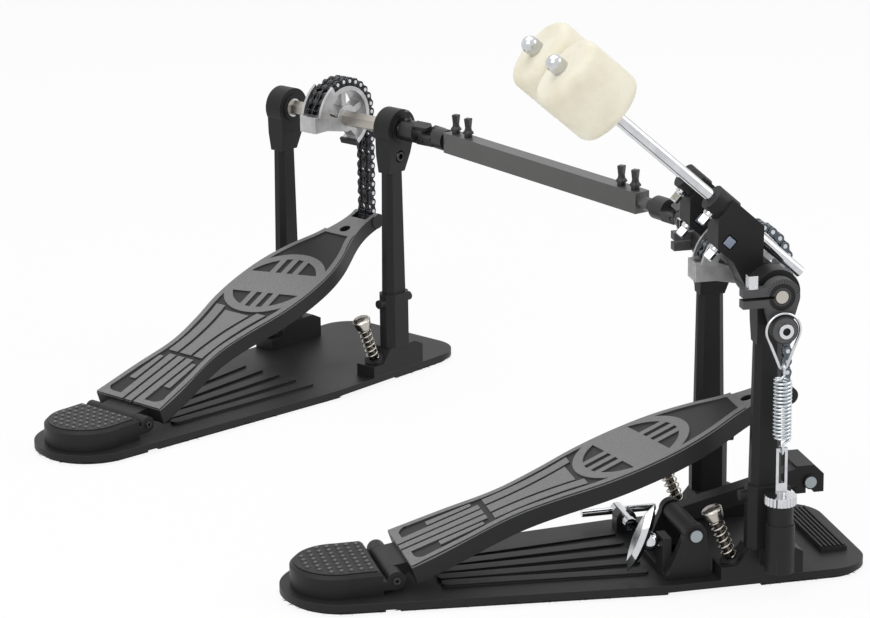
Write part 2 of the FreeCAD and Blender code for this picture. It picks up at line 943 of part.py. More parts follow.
def coil_edges(point, turns):
    """Arcs along a coil given by a point for each turn, two for each quarter turn."""
    step = 1e-4
    edges = []
    count = 4 * turns
    for i in range(count):
        ends = [i / 4, (i + 1) / 4]
        spots = [point(turn) for turn in ends]
        ways = [(point(turn + step) - point(turn - step)).normalize() for turn in ends]
        edges += biarc(spots[0], ways[0], spots[1], ways[1])
    return edges


def tube_on(edges, wire):
    """Round wire swept along joined edges."""
    path = Part.Wire(edges)
    start = edges[0].Vertexes[0].Point
    way = edges[0].tangentAt(edges[0].FirstParameter)
    ring = Part.Wire(Part.Circle(start, way, wire / 2).toShape())
    return path.makePipeShell([ring], True, False)


def self_gap(point, turns, wire):
    """Least gap between neighbouring turns, measured on points."""
    fine = 32
    least = wire * turns
    for i in range(fine * (turns - 1)):
        here = point(i / fine)
        for j in range(fine - 2, fine + 3):
            least = min(least, (point((i + j) / fine) - here).Length)
    return least - wire


def spring_end_levels():
    """Heights of the lower and upper hooks of an extension spring."""
    low = rod_top - rod_eye_bar / 2
    high = axle_height - rocker_drop - stirrup_sag - stirrup_length - stirrup_foot_radius
    return low, high


def spring_point(turn):
    """Point on the extension spring's coil, which narrows to a hook at each end."""
    low, high = spring_end_levels()
    start = low + spring_leg + spring_bend
    rise = high - spring_leg - spring_bend - start
    hook = low_hook_radius()
    inward = max(1 - ease(turn), ease(turn - spring_turns + 1))
    radius = spring_radius + (hook - spring_radius) * inward
    shift = spring_bend * ((1 - ease(turn)) - ease(turn - spring_turns + 1))
    angle = 2 * math.pi * turn
    height = start + rise * ramp(turn, spring_turns)
    return V(spring_x + radius * math.cos(angle), shift + radius * math.sin(angle), height)


def low_hook_radius():
    """Radius of the spring's hooks, clear of the bar that each one holds."""
    bar = math.hypot(rod_flat_thickness, rod_eye_bar) / 2
    return spring_wire / 2 + bar + air_gap


def extension_spring():
    """Close coil with a hook at each end, as one wire."""
    low, high = spring_end_levels()
    hook = low_hook_radius()
    right = V(spring_x + hook, 0, low)
    left = V(spring_x - hook, 0, low)
    bottom = V(spring_x, 0, low - hook)
    leg_top = right + Z_AXIS * spring_leg
    cut = spring_bend * math.sqrt(0.5)
    edges = [
        line(left + Z_AXIS * spring_wire, left),
        arc(left, bottom, right),
        line(right, leg_top),
        arc(leg_top, leg_top + V(0, spring_bend - cut, cut), leg_top + V(0, spring_bend, spring_bend)),
    ]
    edges += coil_edges(spring_point, spring_turns)
    upper = V(spring_x + hook, 0, high)
    leg_low = upper - Z_AXIS * spring_leg
    far = V(spring_x - hook, 0, high)
    edges += [
        arc(leg_low - V(0, spring_bend, spring_bend), leg_low - V(0, spring_bend - cut, cut), leg_low),
        line(leg_low, upper),
        arc(upper, V(spring_x, 0, high + hook), far),
        line(far, far - Z_AXIS * spring_wire),
    ]
    return tube_on(edges, spring_wire)


def spur_coil_point(turn):
    """Point on the coil round the right spur."""
    tilt = math.radians(spur_tilt)
    start = spur_boss_top + air_gap + spur_wire / 2
    rise = spur_spring_height - 2 * air_gap - spur_wire
    along = start + rise * ramp(turn, spur_turns)
    angle = 2 * math.pi * turn
    across = V(0, math.cos(tilt), math.sin(tilt))
    ring = X_AXIS * (spur_coil_radius * math.cos(angle)) + across * (spur_coil_radius * math.sin(angle))
    return spur_point(along) + ring


def spur():
    """Right spur: pointed bolt with a tapered head, and the coil that holds its setting."""
    reach = (plate_top - spur_tip_lift) / math.cos(math.radians(spur_tilt))
    head_low = spur_boss_top + spur_spring_height
    head_high = head_low + spur_head_height
    axis = spur_point(head_high) - spur_point(head_low)
    shank = rod(spur_point(spur_tip - reach), spur_point(head_high - overrun), spur_radius)
    tip = Part.makeCone(0, spur_radius, spur_tip, spur_point(-reach), axis)
    low_radius = spur_head_radius * spur_head_taper_share
    head = Part.makeCone(low_radius, spur_head_radius, spur_head_height, spur_point(head_low), axis)
    edges = coil_edges(spur_coil_point, spur_turns)
    start = edges[0].Vertexes[0].Point
    begin = (spur_coil_point(0) - spur_coil_point(1e-4)).normalize() * spur_wire
    stop = spur_coil_point(spur_turns)
    finish = (stop - spur_coil_point(spur_turns - 1e-4)).normalize() * spur_wire
    edges = [line(start + begin, start)] + edges + [line(stop, stop + finish)]
    return Part.makeCompound([fuse([shank, tip, head]), tube_on(edges, spur_wire)])


def chain_pin(index):
    """Pin on the cam's pitch line, counted up from the level of the axle on the drum side."""
    angle = index * link_step
    return axle_point + V(0, chain_radius * math.cos(angle), chain_radius * math.sin(angle))


def drop_pin(index):
    """Pin on the hanging run, counted down from the level of the axle."""
    return axle_point + V(0, chain_radius, -index * drop_pitch)


def outer_link(a, b, closed):
    """Plates of an outer link, with its two pins where neighbours turn on them."""
    radius = chain_link_half_height
    inner = chain_outer - chain_plate
    parts = [
        link_plate(a, b, inner, chain_outer, radius),
        link_plate(a, b, -chain_outer, -inner, radius),
        link_plate(a, b, -chain_middle, chain_middle, radius),
    ]
    if not closed:
        half = chain_outer + chain_pin_proud
        parts += [along_x(pin.y, pin.z, -half, half, chain_pin_radius) for pin in (a, b)]
    return parts


def inner_strands(a, b, inset):
    """Two blocks of an inner link, one for each strand."""
    near = chain_middle + inset
    far = chain_outer - chain_plate - inset
    radius = chain_link_half_height
    return [link_plate(a, b, near, far, radius), link_plate(a, b, -far, -near, radius)]


def chain_run(pins):
    """Fixed run of links that starts with an outer link and ends with whichever comes last."""
    parts = []
    for i in range(len(pins) - 1):
        if i % 2:
            parts += inner_strands(pins[i], pins[i + 1], 0)
        else:
            parts += outer_link(pins[i], pins[i + 1], True)
    half = chain_outer + chain_pin_proud
    parts.append(along_x(pins[0].y, pins[0].z, -half, half, chain_pin_radius))
    return fuse(parts)


def free_link(index):
    """Link between the cam and the hanging run, free to turn on its pins."""
    a = chain_pin(index - 1)
    b = chain_pin(index)
    if index % 2 == 0:
        return fuse(outer_link(a, b, False))
    holes = [
        along_x(pin.y, pin.z, -chain_outer, chain_outer, chain_pin_radius + fit_gap) for pin in (a, b)
    ]
    return Part.makeCompound([strand.cut(holes) for strand in inner_strands(a, b, air_gap)])


def chain_wrap():
    pins = [chain_pin(free_links + i) for i in range(wrapped_links + 1)]
    return chain_run(pins)


def chain_drop():
    """Hanging run, ending in an eye that hangs loosely on the footboard's toe pin."""
    pins = [drop_pin(i) for i in range(drop_links)]
    run = chain_run(pins)
    end = drop_pin(drop_links)
    tail = [
        link_plate(pins[-1], end, x0, x1, toe_pin_radius + toe_eye_gap + chain_plate)
        for x0, x1 in ((chain_middle, chain_outer), (-chain_outer, -chain_middle))
    ]
    eye = along_x(end.y, end.z, -chain_outer - overrun, chain_outer + overrun, toe_pin_radius + toe_eye_gap)
    return fuse([run] + tail).cut(eye)


def ring_sector(inner, outer, x0, x1, start, end):
    """Part of a ring round the axle between two angles measured from Y."""
    a = math.radians(start)
    b = math.radians(end)

    def spot(radius, angle):
        return V(x0, radius * math.cos(angle), axle_height + radius * math.sin(angle))

    middle = (a + b) / 2
    edges = [
        arc(spot(outer, a), spot(outer, middle), spot(outer, b)),
        line(spot(outer, b), spot(inner, b)),
        arc(spot(inner, b), spot(inner, middle), spot(inner, a)),
        line(spot(inner, a), spot(outer, a)),
    ]
    return face(edges).extrude(X_AXIS * (x1 - x0))


def chain_cam():
    """Spoked cam with a rim under the chain, an anchor lug and two guide fins."""
    half = cam_half_width
    rim = ring_sector(cam_rim_inner, cam_rim_outer, -half, half, cam_start, cam_end)
    parts = [rim, round_on_axle(-half, half, cam_hub_radius)]
    for angle in cam_spokes:
        spoke = box(
            (-cam_spoke_half_depth, cam_spoke_half_depth),
            (hex_radius, cam_rim_inner + overrun),
            (axle_height - cam_spoke_width / 2, axle_height + cam_spoke_width / 2),
        )
        parts.append(turned(spoke, angle, X_AXIS, axle_point))
    lug_top = chain_pin(free_links + wrapped_links).z - chain_link_half_height
    lug = box((-half, half), (-cam_lug_reach, -cam_rim_inner), (lug_top - cam_lug_height, lug_top))
    foot = polygon([
        V(-half, -cam_rim_inner, lug_top - cam_lug_height),
        V(-half, -cam_rim_inner, lug_top),
        V(-half, -hex_radius, axle_height),
        V(-half, 0, axle_height - cam_hub_radius),
    ]).extrude(X_AXIS * (2 * half))
    parts += [lug, foot]
    for side in (1, -1):
        inner = side * half
        outer = side * (half + cam_fin)
        left, right = min(inner, outer), max(inner, outer)
        parts.append(ring_sector(cam_rim_inner, cam_fin_reach, left, right, cam_fin_start, cam_end))
    pocket_half = cam_lug_pocket / 2
    middle = -(cam_lug_reach + cam_rim_outer) / 2
    pocket = box(
        (-half / 2, half / 2),
        (middle - pocket_half, middle + pocket_half),
        (lug_top - cam_lug_height / 2, lug_top + overrun),
    )
    bore = hex_bar(-half - overrun, half + overrun, hex_flats + 2 * fit_gap)
    return fuse(parts).cut([bore, pocket])


def main_axle():
    """Hexagonal axle with a journal at the right bearing and a bored seat for the spigot."""
    bar = hex_bar(-hex_end, bearing_inner, hex_flats)
    journal = round_on_axle(bearing_inner - overrun, axle_end, journal_radius)
    seat = round_on_axle(-hex_end - overrun, spigot_seat - hex_end, spigot_radius + fit_gap)
    return fuse([bar, journal]).cut(seat)


def axle_spigot():
    """Steel pin in the main axle's end, on which the second beater's sleeve turns."""
    return round_on_axle(-hex_end - spigot_length, spigot_seat - hex_end, spigot_radius)


def slave_axle():
    """Hexagonal axle through both bearings, with the drive yoke on its right end."""
    bar = hex_bar(-bearing_inner, bearing_inner, hex_flats)
    ends = round_on_axle(-bearing_outer, slave_joint_reach - yoke_back + overrun, journal_radius)
    fork = turned(yoke(cross_pin_radius + fit_gap), stroke / 2)
    fork = moved(fork, V(slave_joint_reach, 0, axle_height))
    return fuse([bar, ends, fork])


def key_screw(base, axis, collar, height):
    """Drum-key screw: a stepped collar under a square head, standing on a base point."""
    up = V(axis).normalize()
    disc = Part.makeCylinder(collar, height * key_disc_share, base, up)
    neck = Part.makeCone(collar * key_neck_share, key_head / 2, height / 2, base, up)
    half = key_head / 2
    square = Part.makeBox(key_head, key_head, height, V(-half, -half, 0))
    square.Placement = FreeCAD.Placement(base, FreeCAD.Rotation(Z_AXIS, up))
    return fuse([disc, neck, square])


def rocker():
    """Right spring rocker: split clamp on the axle, its screw, and the roller below."""
    low = axle_height - rocker_drop
    disc = round_on_axle(rocker_inner, rocker_outer, rocker_radius)
    reach = math.asin((rocker_radius - rocker_tip_radius) / rocker_drop)
    arm = [
        V(rocker_inner, -rocker_radius * math.cos(reach), axle_height - rocker_radius * math.sin(reach)),
        V(rocker_inner, -rocker_tip_radius * math.cos(reach), low - rocker_tip_radius * math.sin(reach)),
        V(rocker_inner, rocker_tip_radius * math.cos(reach), low - rocker_tip_radius * math.sin(reach)),
        V(rocker_inner, rocker_radius * math.cos(reach), axle_height - rocker_radius * math.sin(reach)),
    ]
    arm = polygon(arm).extrude(X_AXIS * rocker_thickness)
    tip = along_x(0, low, rocker_inner, rocker_outer, rocker_tip_radius)
    half = rocker_ear_height / 2
    wide = (rocker_inner, rocker_outer)
    ears = box(wide, (-rocker_ear_reach, 0), (axle_height - half, axle_height + half))
    body = fuse([disc, arm, tip, ears])
    split = box(
        (rocker_inner - overrun, rocker_outer + overrun),
        (-rocker_ear_reach - overrun, 0),
        (axle_height - rocker_split / 2, axle_height + rocker_split / 2),
    )
    bore = round_on_axle(rocker_inner - overrun, rocker_outer + overrun, journal_radius + fit_gap)
    bolt_hole = along_x(0, low, rocker_inner - overrun, rocker_outer + overrun, roller_bolt_radius + fit_gap)
    body = body.cut([split, bore, bolt_hole])
    screw_back = (rocker_ear_reach + rocker_radius) / 2
    base = V((rocker_inner + rocker_outer) / 2, -screw_back, axle_height + half)
    screw = key_screw(base, Z_AXIS, rocker_collar_radius, key_head_height)
    start = spring_x - roller_width / 2
    end = spring_x + roller_width / 2
    roller = along_x(0, low, start, end, roller_radius)
    roller = roller.cut(along_x(0, low, start - overrun, end + overrun, roller_bolt_radius + fit_gap))
    bolt = along_x(0, low, rocker_inner, end + overrun, roller_bolt_radius)
    head_end = end + roller_head_height
    head = along_x(0, low, end + fit_gap, head_end, roller_head_radius)
    socket = along_x(0, low, end + roller_head_height / 2, head_end + overrun, roller_bolt_radius)
    return Part.makeCompound([body, screw, roller, fuse([bolt, head]).cut(socket)])


def stirrup():
    """Wire loop that hangs on the right roller and takes the spring's upper hook."""
    high = axle_height - rocker_drop - stirrup_sag
    top_radius = roller_radius + stirrup_gap + stirrup_wire / 2
    foot = high - stirrup_length
    lean = math.asin((top_radius - stirrup_foot_radius) / stirrup_length)

    def spot(radius, level, angle):
        return V(spring_x, radius * math.cos(angle), level + radius * math.sin(angle))

    right = -lean
    left = math.pi + lean
    edges = [
        arc(spot(top_radius, high, right), spot(top_radius, high, math.pi / 2), spot(top_radius, high, left)),
        line(spot(top_radius, high, left), spot(stirrup_foot_radius, foot, left)),
        arc(
            spot(stirrup_foot_radius, foot, left),
            spot(stirrup_foot_radius, foot, -math.pi / 2),
            spot(stirrup_foot_radius, foot, right),
        ),
        line(spot(stirrup_foot_radius, foot, right), spot(top_radius, high, right)),
    ]
    return tube_on(edges, stirrup_wire)


def spring_rod():
    """Right tension rod: slotted flat above the nut, round below it."""
    half_x = rod_flat_thickness / 2
    half_y = rod_flat_width / 2
    flat_low = rod_top - rod_flat_length
    flat = box((spring_x - half_x, spring_x + half_x), (-half_y, half_y), (flat_low, rod_top))
    slot_top = rod_top - rod_eye_bar
    slot = box(
        (spring_x - half_x - overrun, spring_x + half_x + overrun),
        (-rod_slot_width / 2, rod_slot_width / 2),
        (slot_top - rod_slot_length, slot_top),
    )
    stem = rod(V(spring_x, 0, rod_foot), V(spring_x, 0, flat_low + overrun), rod_radius)
    return fuse([flat.cut(slot), stem])


def tension_nut():
    """Fluted nut that sets the right spring's tension."""
    low = nut_top - nut_height
    points = []
    for i in range(2 * nut_flutes):
        angle = math.pi * i / nut_flutes
        radius = nut_radius - nut_groove * (i % 2)
        points.append(V(spring_x + radius * math.cos(angle), radius * math.sin(angle), low))
    body = polygon(points).extrude(Z_AXIS * nut_height)
    bore = rod(V(spring_x, 0, low - overrun), V(spring_x, 0, nut_top + overrun), rod_radius + fit_gap)
    return body.cut(bore)


def in_beater_frame(shape):
    """Carry a shape from the beater's upright frame, with its shaft along Z, to its rest lean."""
    copy = shape.copy()
    copy.translate(axle_point)
    return turned(copy, beater_lean, X_AXIS, axle_point)


def hub_web():
    """Side outline of a hub, from the boss on the axle up to the shaft's socket, at full width."""
    half = hub_half_width
    corner = hub_radius * math.sqrt(0.5)
    outer = beater_offset + hub_socket_radius
    return polygon([
        V(-half, corner, corner),
        V(-half, -corner, corner),
        V(-half, -hub_back, hub_socket_low),
        V(-half, -hub_back, hub_shoulder),
        V(-half, beater_offset - hub_saddle_radius, hub_web_top),
        V(-half, outer, hub_web_top),
        V(-half, outer, hub_socket_low),
    ]).extrude(X_AXIS * (2 * half))


def upright_hub():
    """Beater hub before it is leaned: axle boss below, shaft socket with its saddle above."""
    half = hub_half_width
    boss = along_x(0, 0, -half, half, hub_radius)
    low = V(0, beater_offset, hub_socket_low)
    high = V(0, beater_offset, hub_socket_high)
    socket = rod(low, high, hub_socket_radius)
    saddle = rod(V(0, beater_offset, hub_saddle_low), high, hub_saddle_radius)
    bore = rod(V(0, beater_offset, 0), high + Z_AXIS * overrun, shaft_radius + fit_gap)
    pocket = box(
        (half - hub_pocket_depth, half + overrun),
        (hub_pocket_offset - hub_pocket / 2, hub_pocket_offset + hub_pocket / 2),
        (hub_pocket_height - hub_pocket / 2, hub_pocket_height + hub_pocket / 2),
    )
    return fuse([boss, hub_web(), socket, saddle]).cut([bore, pocket])


def beater_hub(flats):
    """Leaned hub with its pocketed screw, at the middle plane."""
    half = hub_half_width
    axle = moved(hex_bar(-half - overrun, half + overrun, flats + 2 * fit_gap), axle_point * -1)
    body = upright_hub().cut(turned(axle, -beater_lean))
    head = hub_screw_head / 2
    y = hub_pocket_offset
    z = hub_pocket_height
    screw = box((half - hub_pocket_depth, half), (y - head, y + head), (z - head, z + head))
    return Part.makeCompound([in_beater_frame(shape) for shape in (body, screw)])


def beater_shaft():
    """Shaft with its dome nut, at the middle plane."""
    felt_high = felt_low_reach + felt_length
    shaft = rod(V(0, beater_offset, -shaft_low_reach), V(0, beater_offset, felt_high), shaft_radius)
    base = V(0, beater_offset, felt_high)
    collar = Part.makeCylinder(dome_nut_radius, dome_nut_height, base)
    dome = Part.makeSphere(dome_nut_radius, base + Z_AXIS * dome_nut_height)
    return in_beater_frame(fuse([shaft, collar, dome]))


def beater_felt():
    """Felt barrel with round edges, at the middle plane."""
    high = felt_low_reach + felt_length
    bore = shaft_radius + fit_gap
    straight = felt_radius - felt_edge_radius
    cut = felt_edge_radius * (1 - math.sqrt(0.5))
    side = felt_radius - cut
    low_edge = V(felt_radius, 0, felt_low_reach + felt_edge_radius)
    high_edge = V(felt_radius, 0, high - felt_edge_radius)
    edges = [
        line(V(bore, 0, felt_low_reach), V(straight, 0, felt_low_reach)),
        arc(V(straight, 0, felt_low_reach), V(side, 0, felt_low_reach + cut), low_edge),
        line(low_edge, high_edge),
        arc(high_edge, V(side, 0, high - cut), V(straight, 0, high)),
        line(V(straight, 0, high), V(bore, 0, high)),
        line(V(bore, 0, high), V(bore, 0, felt_low_reach)),
    ]
    barrel = face(edges).revolve(V(0, 0, 0), Z_AXIS, 360)
    barrel.translate(Y_AXIS * beater_offset)
    return in_beater_frame(barrel)


def yoke(hole_radius):
    """Drive yoke on the X axis with its joint centre at the origin and its pin along Z."""
    body = along_x(0, 0, -yoke_back, -yoke_face, yoke_radius)
    parts = [body]
    half = yoke_arm_width / 2
    for side in (1, -1):
        level = side * yoke_arm_inner
        edges = [
            line(V(-yoke_face - overrun, -half, level), V(0, -half, level)),
            arc(V(0, -half, level), V(half, 0, level), V(0, half, level)),
            line(V(0, half, level), V(-yoke_face - overrun, half, level)),
            line(V(-yoke_face - overrun, half, level), V(-yoke_face - overrun, -half, level)),
        ]
        parts.append(face(edges).extrude(Z_AXIS * (side * (yoke_radius - yoke_arm_inner))))
    hole = rod(V(0, 0, -yoke_radius - overrun), V(0, 0, yoke_radius + overrun), hole_radius)
    return fuse(parts).cut(hole)


def cross():
    """Cross of a drive joint, with one pin along Z and the other along Y."""
    half = cross_core / 2
    reach = yoke_radius - fit_gap
    core = box((-half, half), (-half, half), (-half, half))
    pins = [
        rod(V(0, 0, -reach), V(0, 0, reach), cross_pin_radius),
        rod(V(0, -reach, 0), V(0, reach, 0), cross_pin_radius),
    ]
    return fuse([core] + pins)


def second_sleeve():
    """Sleeve of the second beater: hexagon, journal through the left bearing, and drive yoke."""
    bar = hex_bar(-bearing_inner, -sleeve_start, sleeve_hex)
    start = yoke_back - overrun - main_joint_reach
    journal = round_on_axle(start, overrun - bearing_inner, journal_radius)
    fork = turned(yoke(cross_pin_radius + fit_gap), -stroke / 2 * sleeve_ratio)
    fork = turned(fork, 180, Z_AXIS)
    fork = moved(fork, main_joint)
    bore = round_on_axle(-sleeve_start - sleeve_bore_length, overrun - sleeve_start, spigot_radius + fit_gap)
    return fuse([bar, journal, fork]).cut(bore)


def cross_at(joint, yaw, turn):
    """Cross set square to the drive bar at mid stroke, then turned back with its shaft to rest."""
    shape = turned(cross(), bar_yaw, Z_AXIS)
    shaft_way = V(math.cos(math.radians(yaw)), math.sin(math.radians(yaw)), 0)
    return moved(turned(shape, turn, shaft_way), joint)


def bar_frame(shape, origin):
    """Carry a shape from the bar's own frame, X from slave to main, to its place."""
    return moved(turned(shape, bar_yaw, Z_AXIS), origin)


def bar_fork():
    """Yoke of the drive bar at rest, with its pin level at mid stroke."""
    fork = turned(yoke(cross_pin_radius + loose_gap), 90)
    return turned(fork, stroke / 2 * bar_ratio)


def linkage_tube():
    """Square outer tube with the yoke of the main joint on its end."""
    start = tube_gap_slave
    end = bar_span - tube_gap_main
    half_y = bar_tube_width / 2
    half_z = bar_tube_height / 2
    wall = bar_tube_wall
    shell = box((start, end), (-half_y, half_y), (-half_z, half_z))
    inner_y = half_y - wall
    inner_z = half_z - wall
    hollow = box((start - overrun, end - 2 * wall), (-inner_y, inner_y), (-inner_z, inner_z))
    neck = along_x(0, 0, end - wall, bar_span - yoke_back + overrun, bar_neck_radius)
    fork = moved(bar_fork(), V(bar_span, 0, 0))
    return bar_frame(fuse([shell.cut(hollow), neck, fork]), slave_joint)


def linkage_rod():
    """Square inner rod that slides in the tube, with the yoke of the slave joint on its end."""
    half_y = bar_tube_width / 2 - bar_tube_wall - air_gap
    half_z = bar_tube_height / 2 - bar_tube_wall - air_gap
    bar = box((tube_gap_slave, bar_rod_reach), (-half_y, half_y), (-half_z, half_z))
    neck = along_x(0, 0, yoke_back - overrun, tube_gap_slave + overrun, half_y)
    fork = turned(yoke(cross_pin_radius + loose_gap), 90)
    fork = turned(turned(fork, 180, Z_AXIS), stroke / 2 * bar_ratio)
    return bar_frame(fuse([bar, neck, fork]), slave_joint)


def linkage_screws():
    """Two clamp screws on top of the tube at each end."""
    top = bar_tube_height / 2
    screws = []
    for back in bar_screw_places_back:
        for along in (tube_gap_slave + back, bar_span - tube_gap_main - back):
            screws.append(key_screw(V(along, 0, top), Z_AXIS, bar_screw_collar, bar_screw_height))
    return bar_frame(Part.makeCompound(screws), slave_joint)


def hoop_bracket():
    """Casting that carries the clamp lever between two lugs, with the wing screw's wall behind."""
    right = barrel_right + air_gap
    left = barrel_left - air_gap
    low = plate_top
    pivot = V(0, -pivot_back, pivot_height)
    floor = box(
        (left - lug_thickness, right + lug_thickness),
        (-bracket_rear_back, -bracket_front_back),
        (low, low + bracket_floor),
    )
    parts = [floor]
    for start in (left - lug_thickness, right):
        lug = polygon([
            V(start, -bracket_rear_back, low),
            V(start, -bracket_front_back, low),
            V(start, -pivot_back + lug_radius, pivot_height),
            V(start, -pivot_back - lug_radius, pivot_height),
        ]).extrude(X_AXIS * lug_thickness)
        parts += [lug, along_x(pivot.y, pivot.z, start, start + lug_thickness, lug_radius)]
    wall = box(
        (wing_screw_x - tail_width / 2, right),
        (-bracket_rear_back, rear_wall - bracket_rear_back),
        (low, low + bracket_floor + rear_wall_height),
    )
    parts.append(wall)
    screw = wing_screw_line(wing_screw_radius + air_gap)
    outer = right + lug_thickness
    far = left - lug_thickness
    pin_hole = along_x(pivot.y, pivot.z, far - overrun, outer + overrun, rivet_radius + fit_gap)
    body = fuse(parts).cut([screw, pin_hole])
    rivet = along_x(pivot.y, pivot.z, far, outer + fit_gap, rivet_radius)
    head = along_x(pivot.y, pivot.z, outer + fit_gap, outer + rivet_head_height, rivet_head_radius)
    return Part.makeCompound([body, fuse([rivet, head])])


def wing_screw_base():
    """Point where the wing screw meets the back of its wall."""
    wall_top = plate_top + bracket_floor + rear_wall_height
    return V(wing_screw_x, -bracket_rear_back, wall_top - wing_boss_radius)


def wing_screw_line(radius):
    base = wing_screw_base()
    return rod(base - wing_axis * wing_boss_radius, base + wing_axis * (wing_screw_tip + overrun), radius)


def wing_screw():
    """Wing screw: lens-shaped wing, ball boss and threaded shank."""
    base = wing_screw_base()
    boss = base - wing_axis * (wing_boss_radius + wing_boss_gap)
    tip = base + wing_axis * wing_screw_tip
    shank = rod(boss, tip, wing_screw_radius)
    nut = rod(tip - wing_axis * wing_nut_length, tip, wing_nut_radius)
    ball = Part.makeSphere(wing_boss_radius, boss)
    centre = boss - wing_axis * wing_boss_radius
    sections = []
    for level, share in ((-1, wing_bevel_share), (0, 1), (1, wing_bevel_share)):
        depth = level * wing_half_thickness
        high = V(0, depth, wing_span * share)
        side = V(wing_half_height * share, depth, 0)
        low = V(0, depth, -wing_span * share)
        sections.append(Part.Wire([arc(high, side, low), arc(low, V(-side.x, depth, 0), high)]))
    lens = turned(Part.makeLoft(sections, True, True), -wing_tilt)
    return fuse([shank, nut, ball, moved(lens, centre)])


def hoop_lever():
    """Clamp lever: pivot barrel, forward arm, hooked jaw and a forked tail astride the wing screw."""
    barrel = along_x(-pivot_back, pivot_height, barrel_left, barrel_right, barrel_radius)
    x0 = barrel_left
    jaw_mid = jaw_high - lever_depth / 2
    half = lever_depth / 2
    arm = polygon([
        V(x0, -pivot_back, pivot_height - half),
        V(x0, jaw_back + jaw_lip, jaw_low + jaw_lip),
        V(x0, jaw_back + jaw_lip, jaw_mid + half),
        V(x0, -pivot_back, pivot_height + half),
    ]).extrude(X_AXIS * lever_width)
    x1 = x0 + lever_width
    jaw = polygon([
        V(jaw_left, jaw_back, jaw_low),
        V(jaw_left, jaw_back + jaw_lip, jaw_low),
        V(jaw_left, jaw_back + jaw_lip, jaw_low + jaw_notch),
        V(jaw_left, jaw_front - jaw_lip, jaw_low + jaw_notch),
        V(jaw_left, jaw_front - jaw_lip, jaw_low),
        V(jaw_left, jaw_front, jaw_low),
        V(jaw_left, jaw_front, jaw_high - jaw_lip),
        V(jaw_left, jaw_front - jaw_lip, jaw_high),
        V(jaw_left, jaw_back, jaw_high),
    ]).extrude(X_AXIS * (x1 - jaw_left))
    tail = box(
        (wing_screw_x - tail_width / 2, wing_screw_x + tail_width / 2),
        (-pivot_back - tail_depth / 2, -pivot_back + tail_depth / 2),
        (pivot_height - tail_drop, pivot_height),
    )
    pin_hole = along_x(
        -pivot_back, pivot_height, barrel_left - overrun, barrel_right + overrun, rivet_radius + fit_gap,
    )
    fork_half = wing_screw_radius + loose_gap
    fork = box(
        (wing_screw_x - fork_half, wing_screw_x + fork_half),
        (-pivot_back - tail_depth, -pivot_back + tail_depth),
        (pivot_height - tail_drop - overrun, pivot_height - barrel_radius),
    )
    body = fuse([barrel, arm, jaw, tail.cut(fork)]).cut(pin_hole)
    middle = V(x1 - overrun, (jaw_back + jaw_front) / 2, jaw_high - jaw_lip - jaw_screw_radius)
    screw = rod(middle, middle + X_AXIS * (jaw_screw_proud + overrun), jaw_screw_radius)
    return fuse([body, screw])


def hoop_pad():
    """Ribbed rubber pad under the drum hoop."""
    pad = box(
        (hoop_pad_left, hoop_pad_right),
        (hoop_pad_back, hoop_pad_front),
        (plate_top, plate_top + hoop_pad_height - hoop_rib),
    )
    step = (hoop_pad_front - hoop_pad_back) / hoop_rib_count
    ribs = []
    for i in range(hoop_rib_count):
        start = hoop_pad_back + i * step
        ribs.append(box(
            (hoop_pad_left, hoop_pad_right),
            (start, start + step / 2),
            (plate_top, plate_top + hoop_pad_height),
        ))
    return fuse([pad] + ribs)


def drum_key():
    """T-handled key with a square socket in its stem."""
    level = plate_top + key_rise
    middle = V(key_x, -key_back, level)
    half = Y_AXIS * (key_bar_length / 2)
    bar = rod(middle - half, middle + half, key_bar_radius)
    back = X_AXIS * (key_bar_radius + key_bar_cover)
    stem = rod(middle - back, middle + X_AXIS * key_stem_length, key_stem_radius)
    socket = key_socket / 2
    end = key_x + key_stem_length
    hole = box(
        (end - key_socket_depth, end + overrun),
        (middle.y - socket, middle.y + socket),
        (level - socket, level + socket),
    )
    return fuse([bar, stem]).cut(hole)


def key_clip():
    """Open clip that grips the key's stem."""
    level = plate_top + key_rise
    outer = key_stem_radius + clip_wall
    start = key_x + clip_from_bar
    end = start + clip_length
    ring = along_x(-key_back, level, start, end, outer)
    foot = box((start, end), (-key_back - outer, outer - key_back), (plate_top, level))
    bore = along_x(-key_back, level, start - overrun, end + overrun, key_stem_radius + air_gap)
    mouth_half = key_stem_radius * clip_mouth_share
    mouth = box(
        (start - overrun, end + overrun),
        (-key_back - mouth_half, mouth_half - key_back),
        (level, level + outer + overrun),
    )
    return fuse([ring, foot]).cut([bore, mouth])


def common_pieces(name, has_spring):
    """Pieces that both pedals have, in the pedal's own frame."""
    right_post = post(has_spring)
    pieces = {
        "base_plate": base_plate(),
        "floor_pads": floor_pads(),
        "heel_plate": heel_plate(),
        "post_right": right_post,
        "post_left": mirrored(right_post),
        "bearings": bearings(),
        "footboard": footboard(),
        "cam": chain_cam(),
        "chain_wrap": chain_wrap(),
        "chain_drop": chain_drop(),
        "spur_right": spur(),
        "spur_left": mirrored(spur()),
    }
    for index in range(1, free_links + 1):
        pieces["chain_link_" + str(index)] = free_link(index)
    return {name + "_" + key: shape for key, shape in pieces.items()}


def beater_pieces(name, x, flats):
    """Hub, shaft and felt of one beater."""
    shift = X_AXIS * x
    return {
        name + "_hub": moved(beater_hub(flats), shift),
        name + "_beater_shaft": moved(beater_shaft(), shift),
        name + "_beater_felt": moved(beater_felt(), shift),
    }


def spring_pieces(side, flip):
    """Rocker, stirrup, spring and nut at one side of the main pedal."""
    pieces = {
        side + "_rocker": rocker(),
        side + "_stirrup": stirrup(),
        side + "_spring": extension_spring(),
        side + "_tension_nut": tension_nut(),
    }
    if flip:
        return {key: mirrored(shape) for key, shape in pieces.items()}
    return pieces


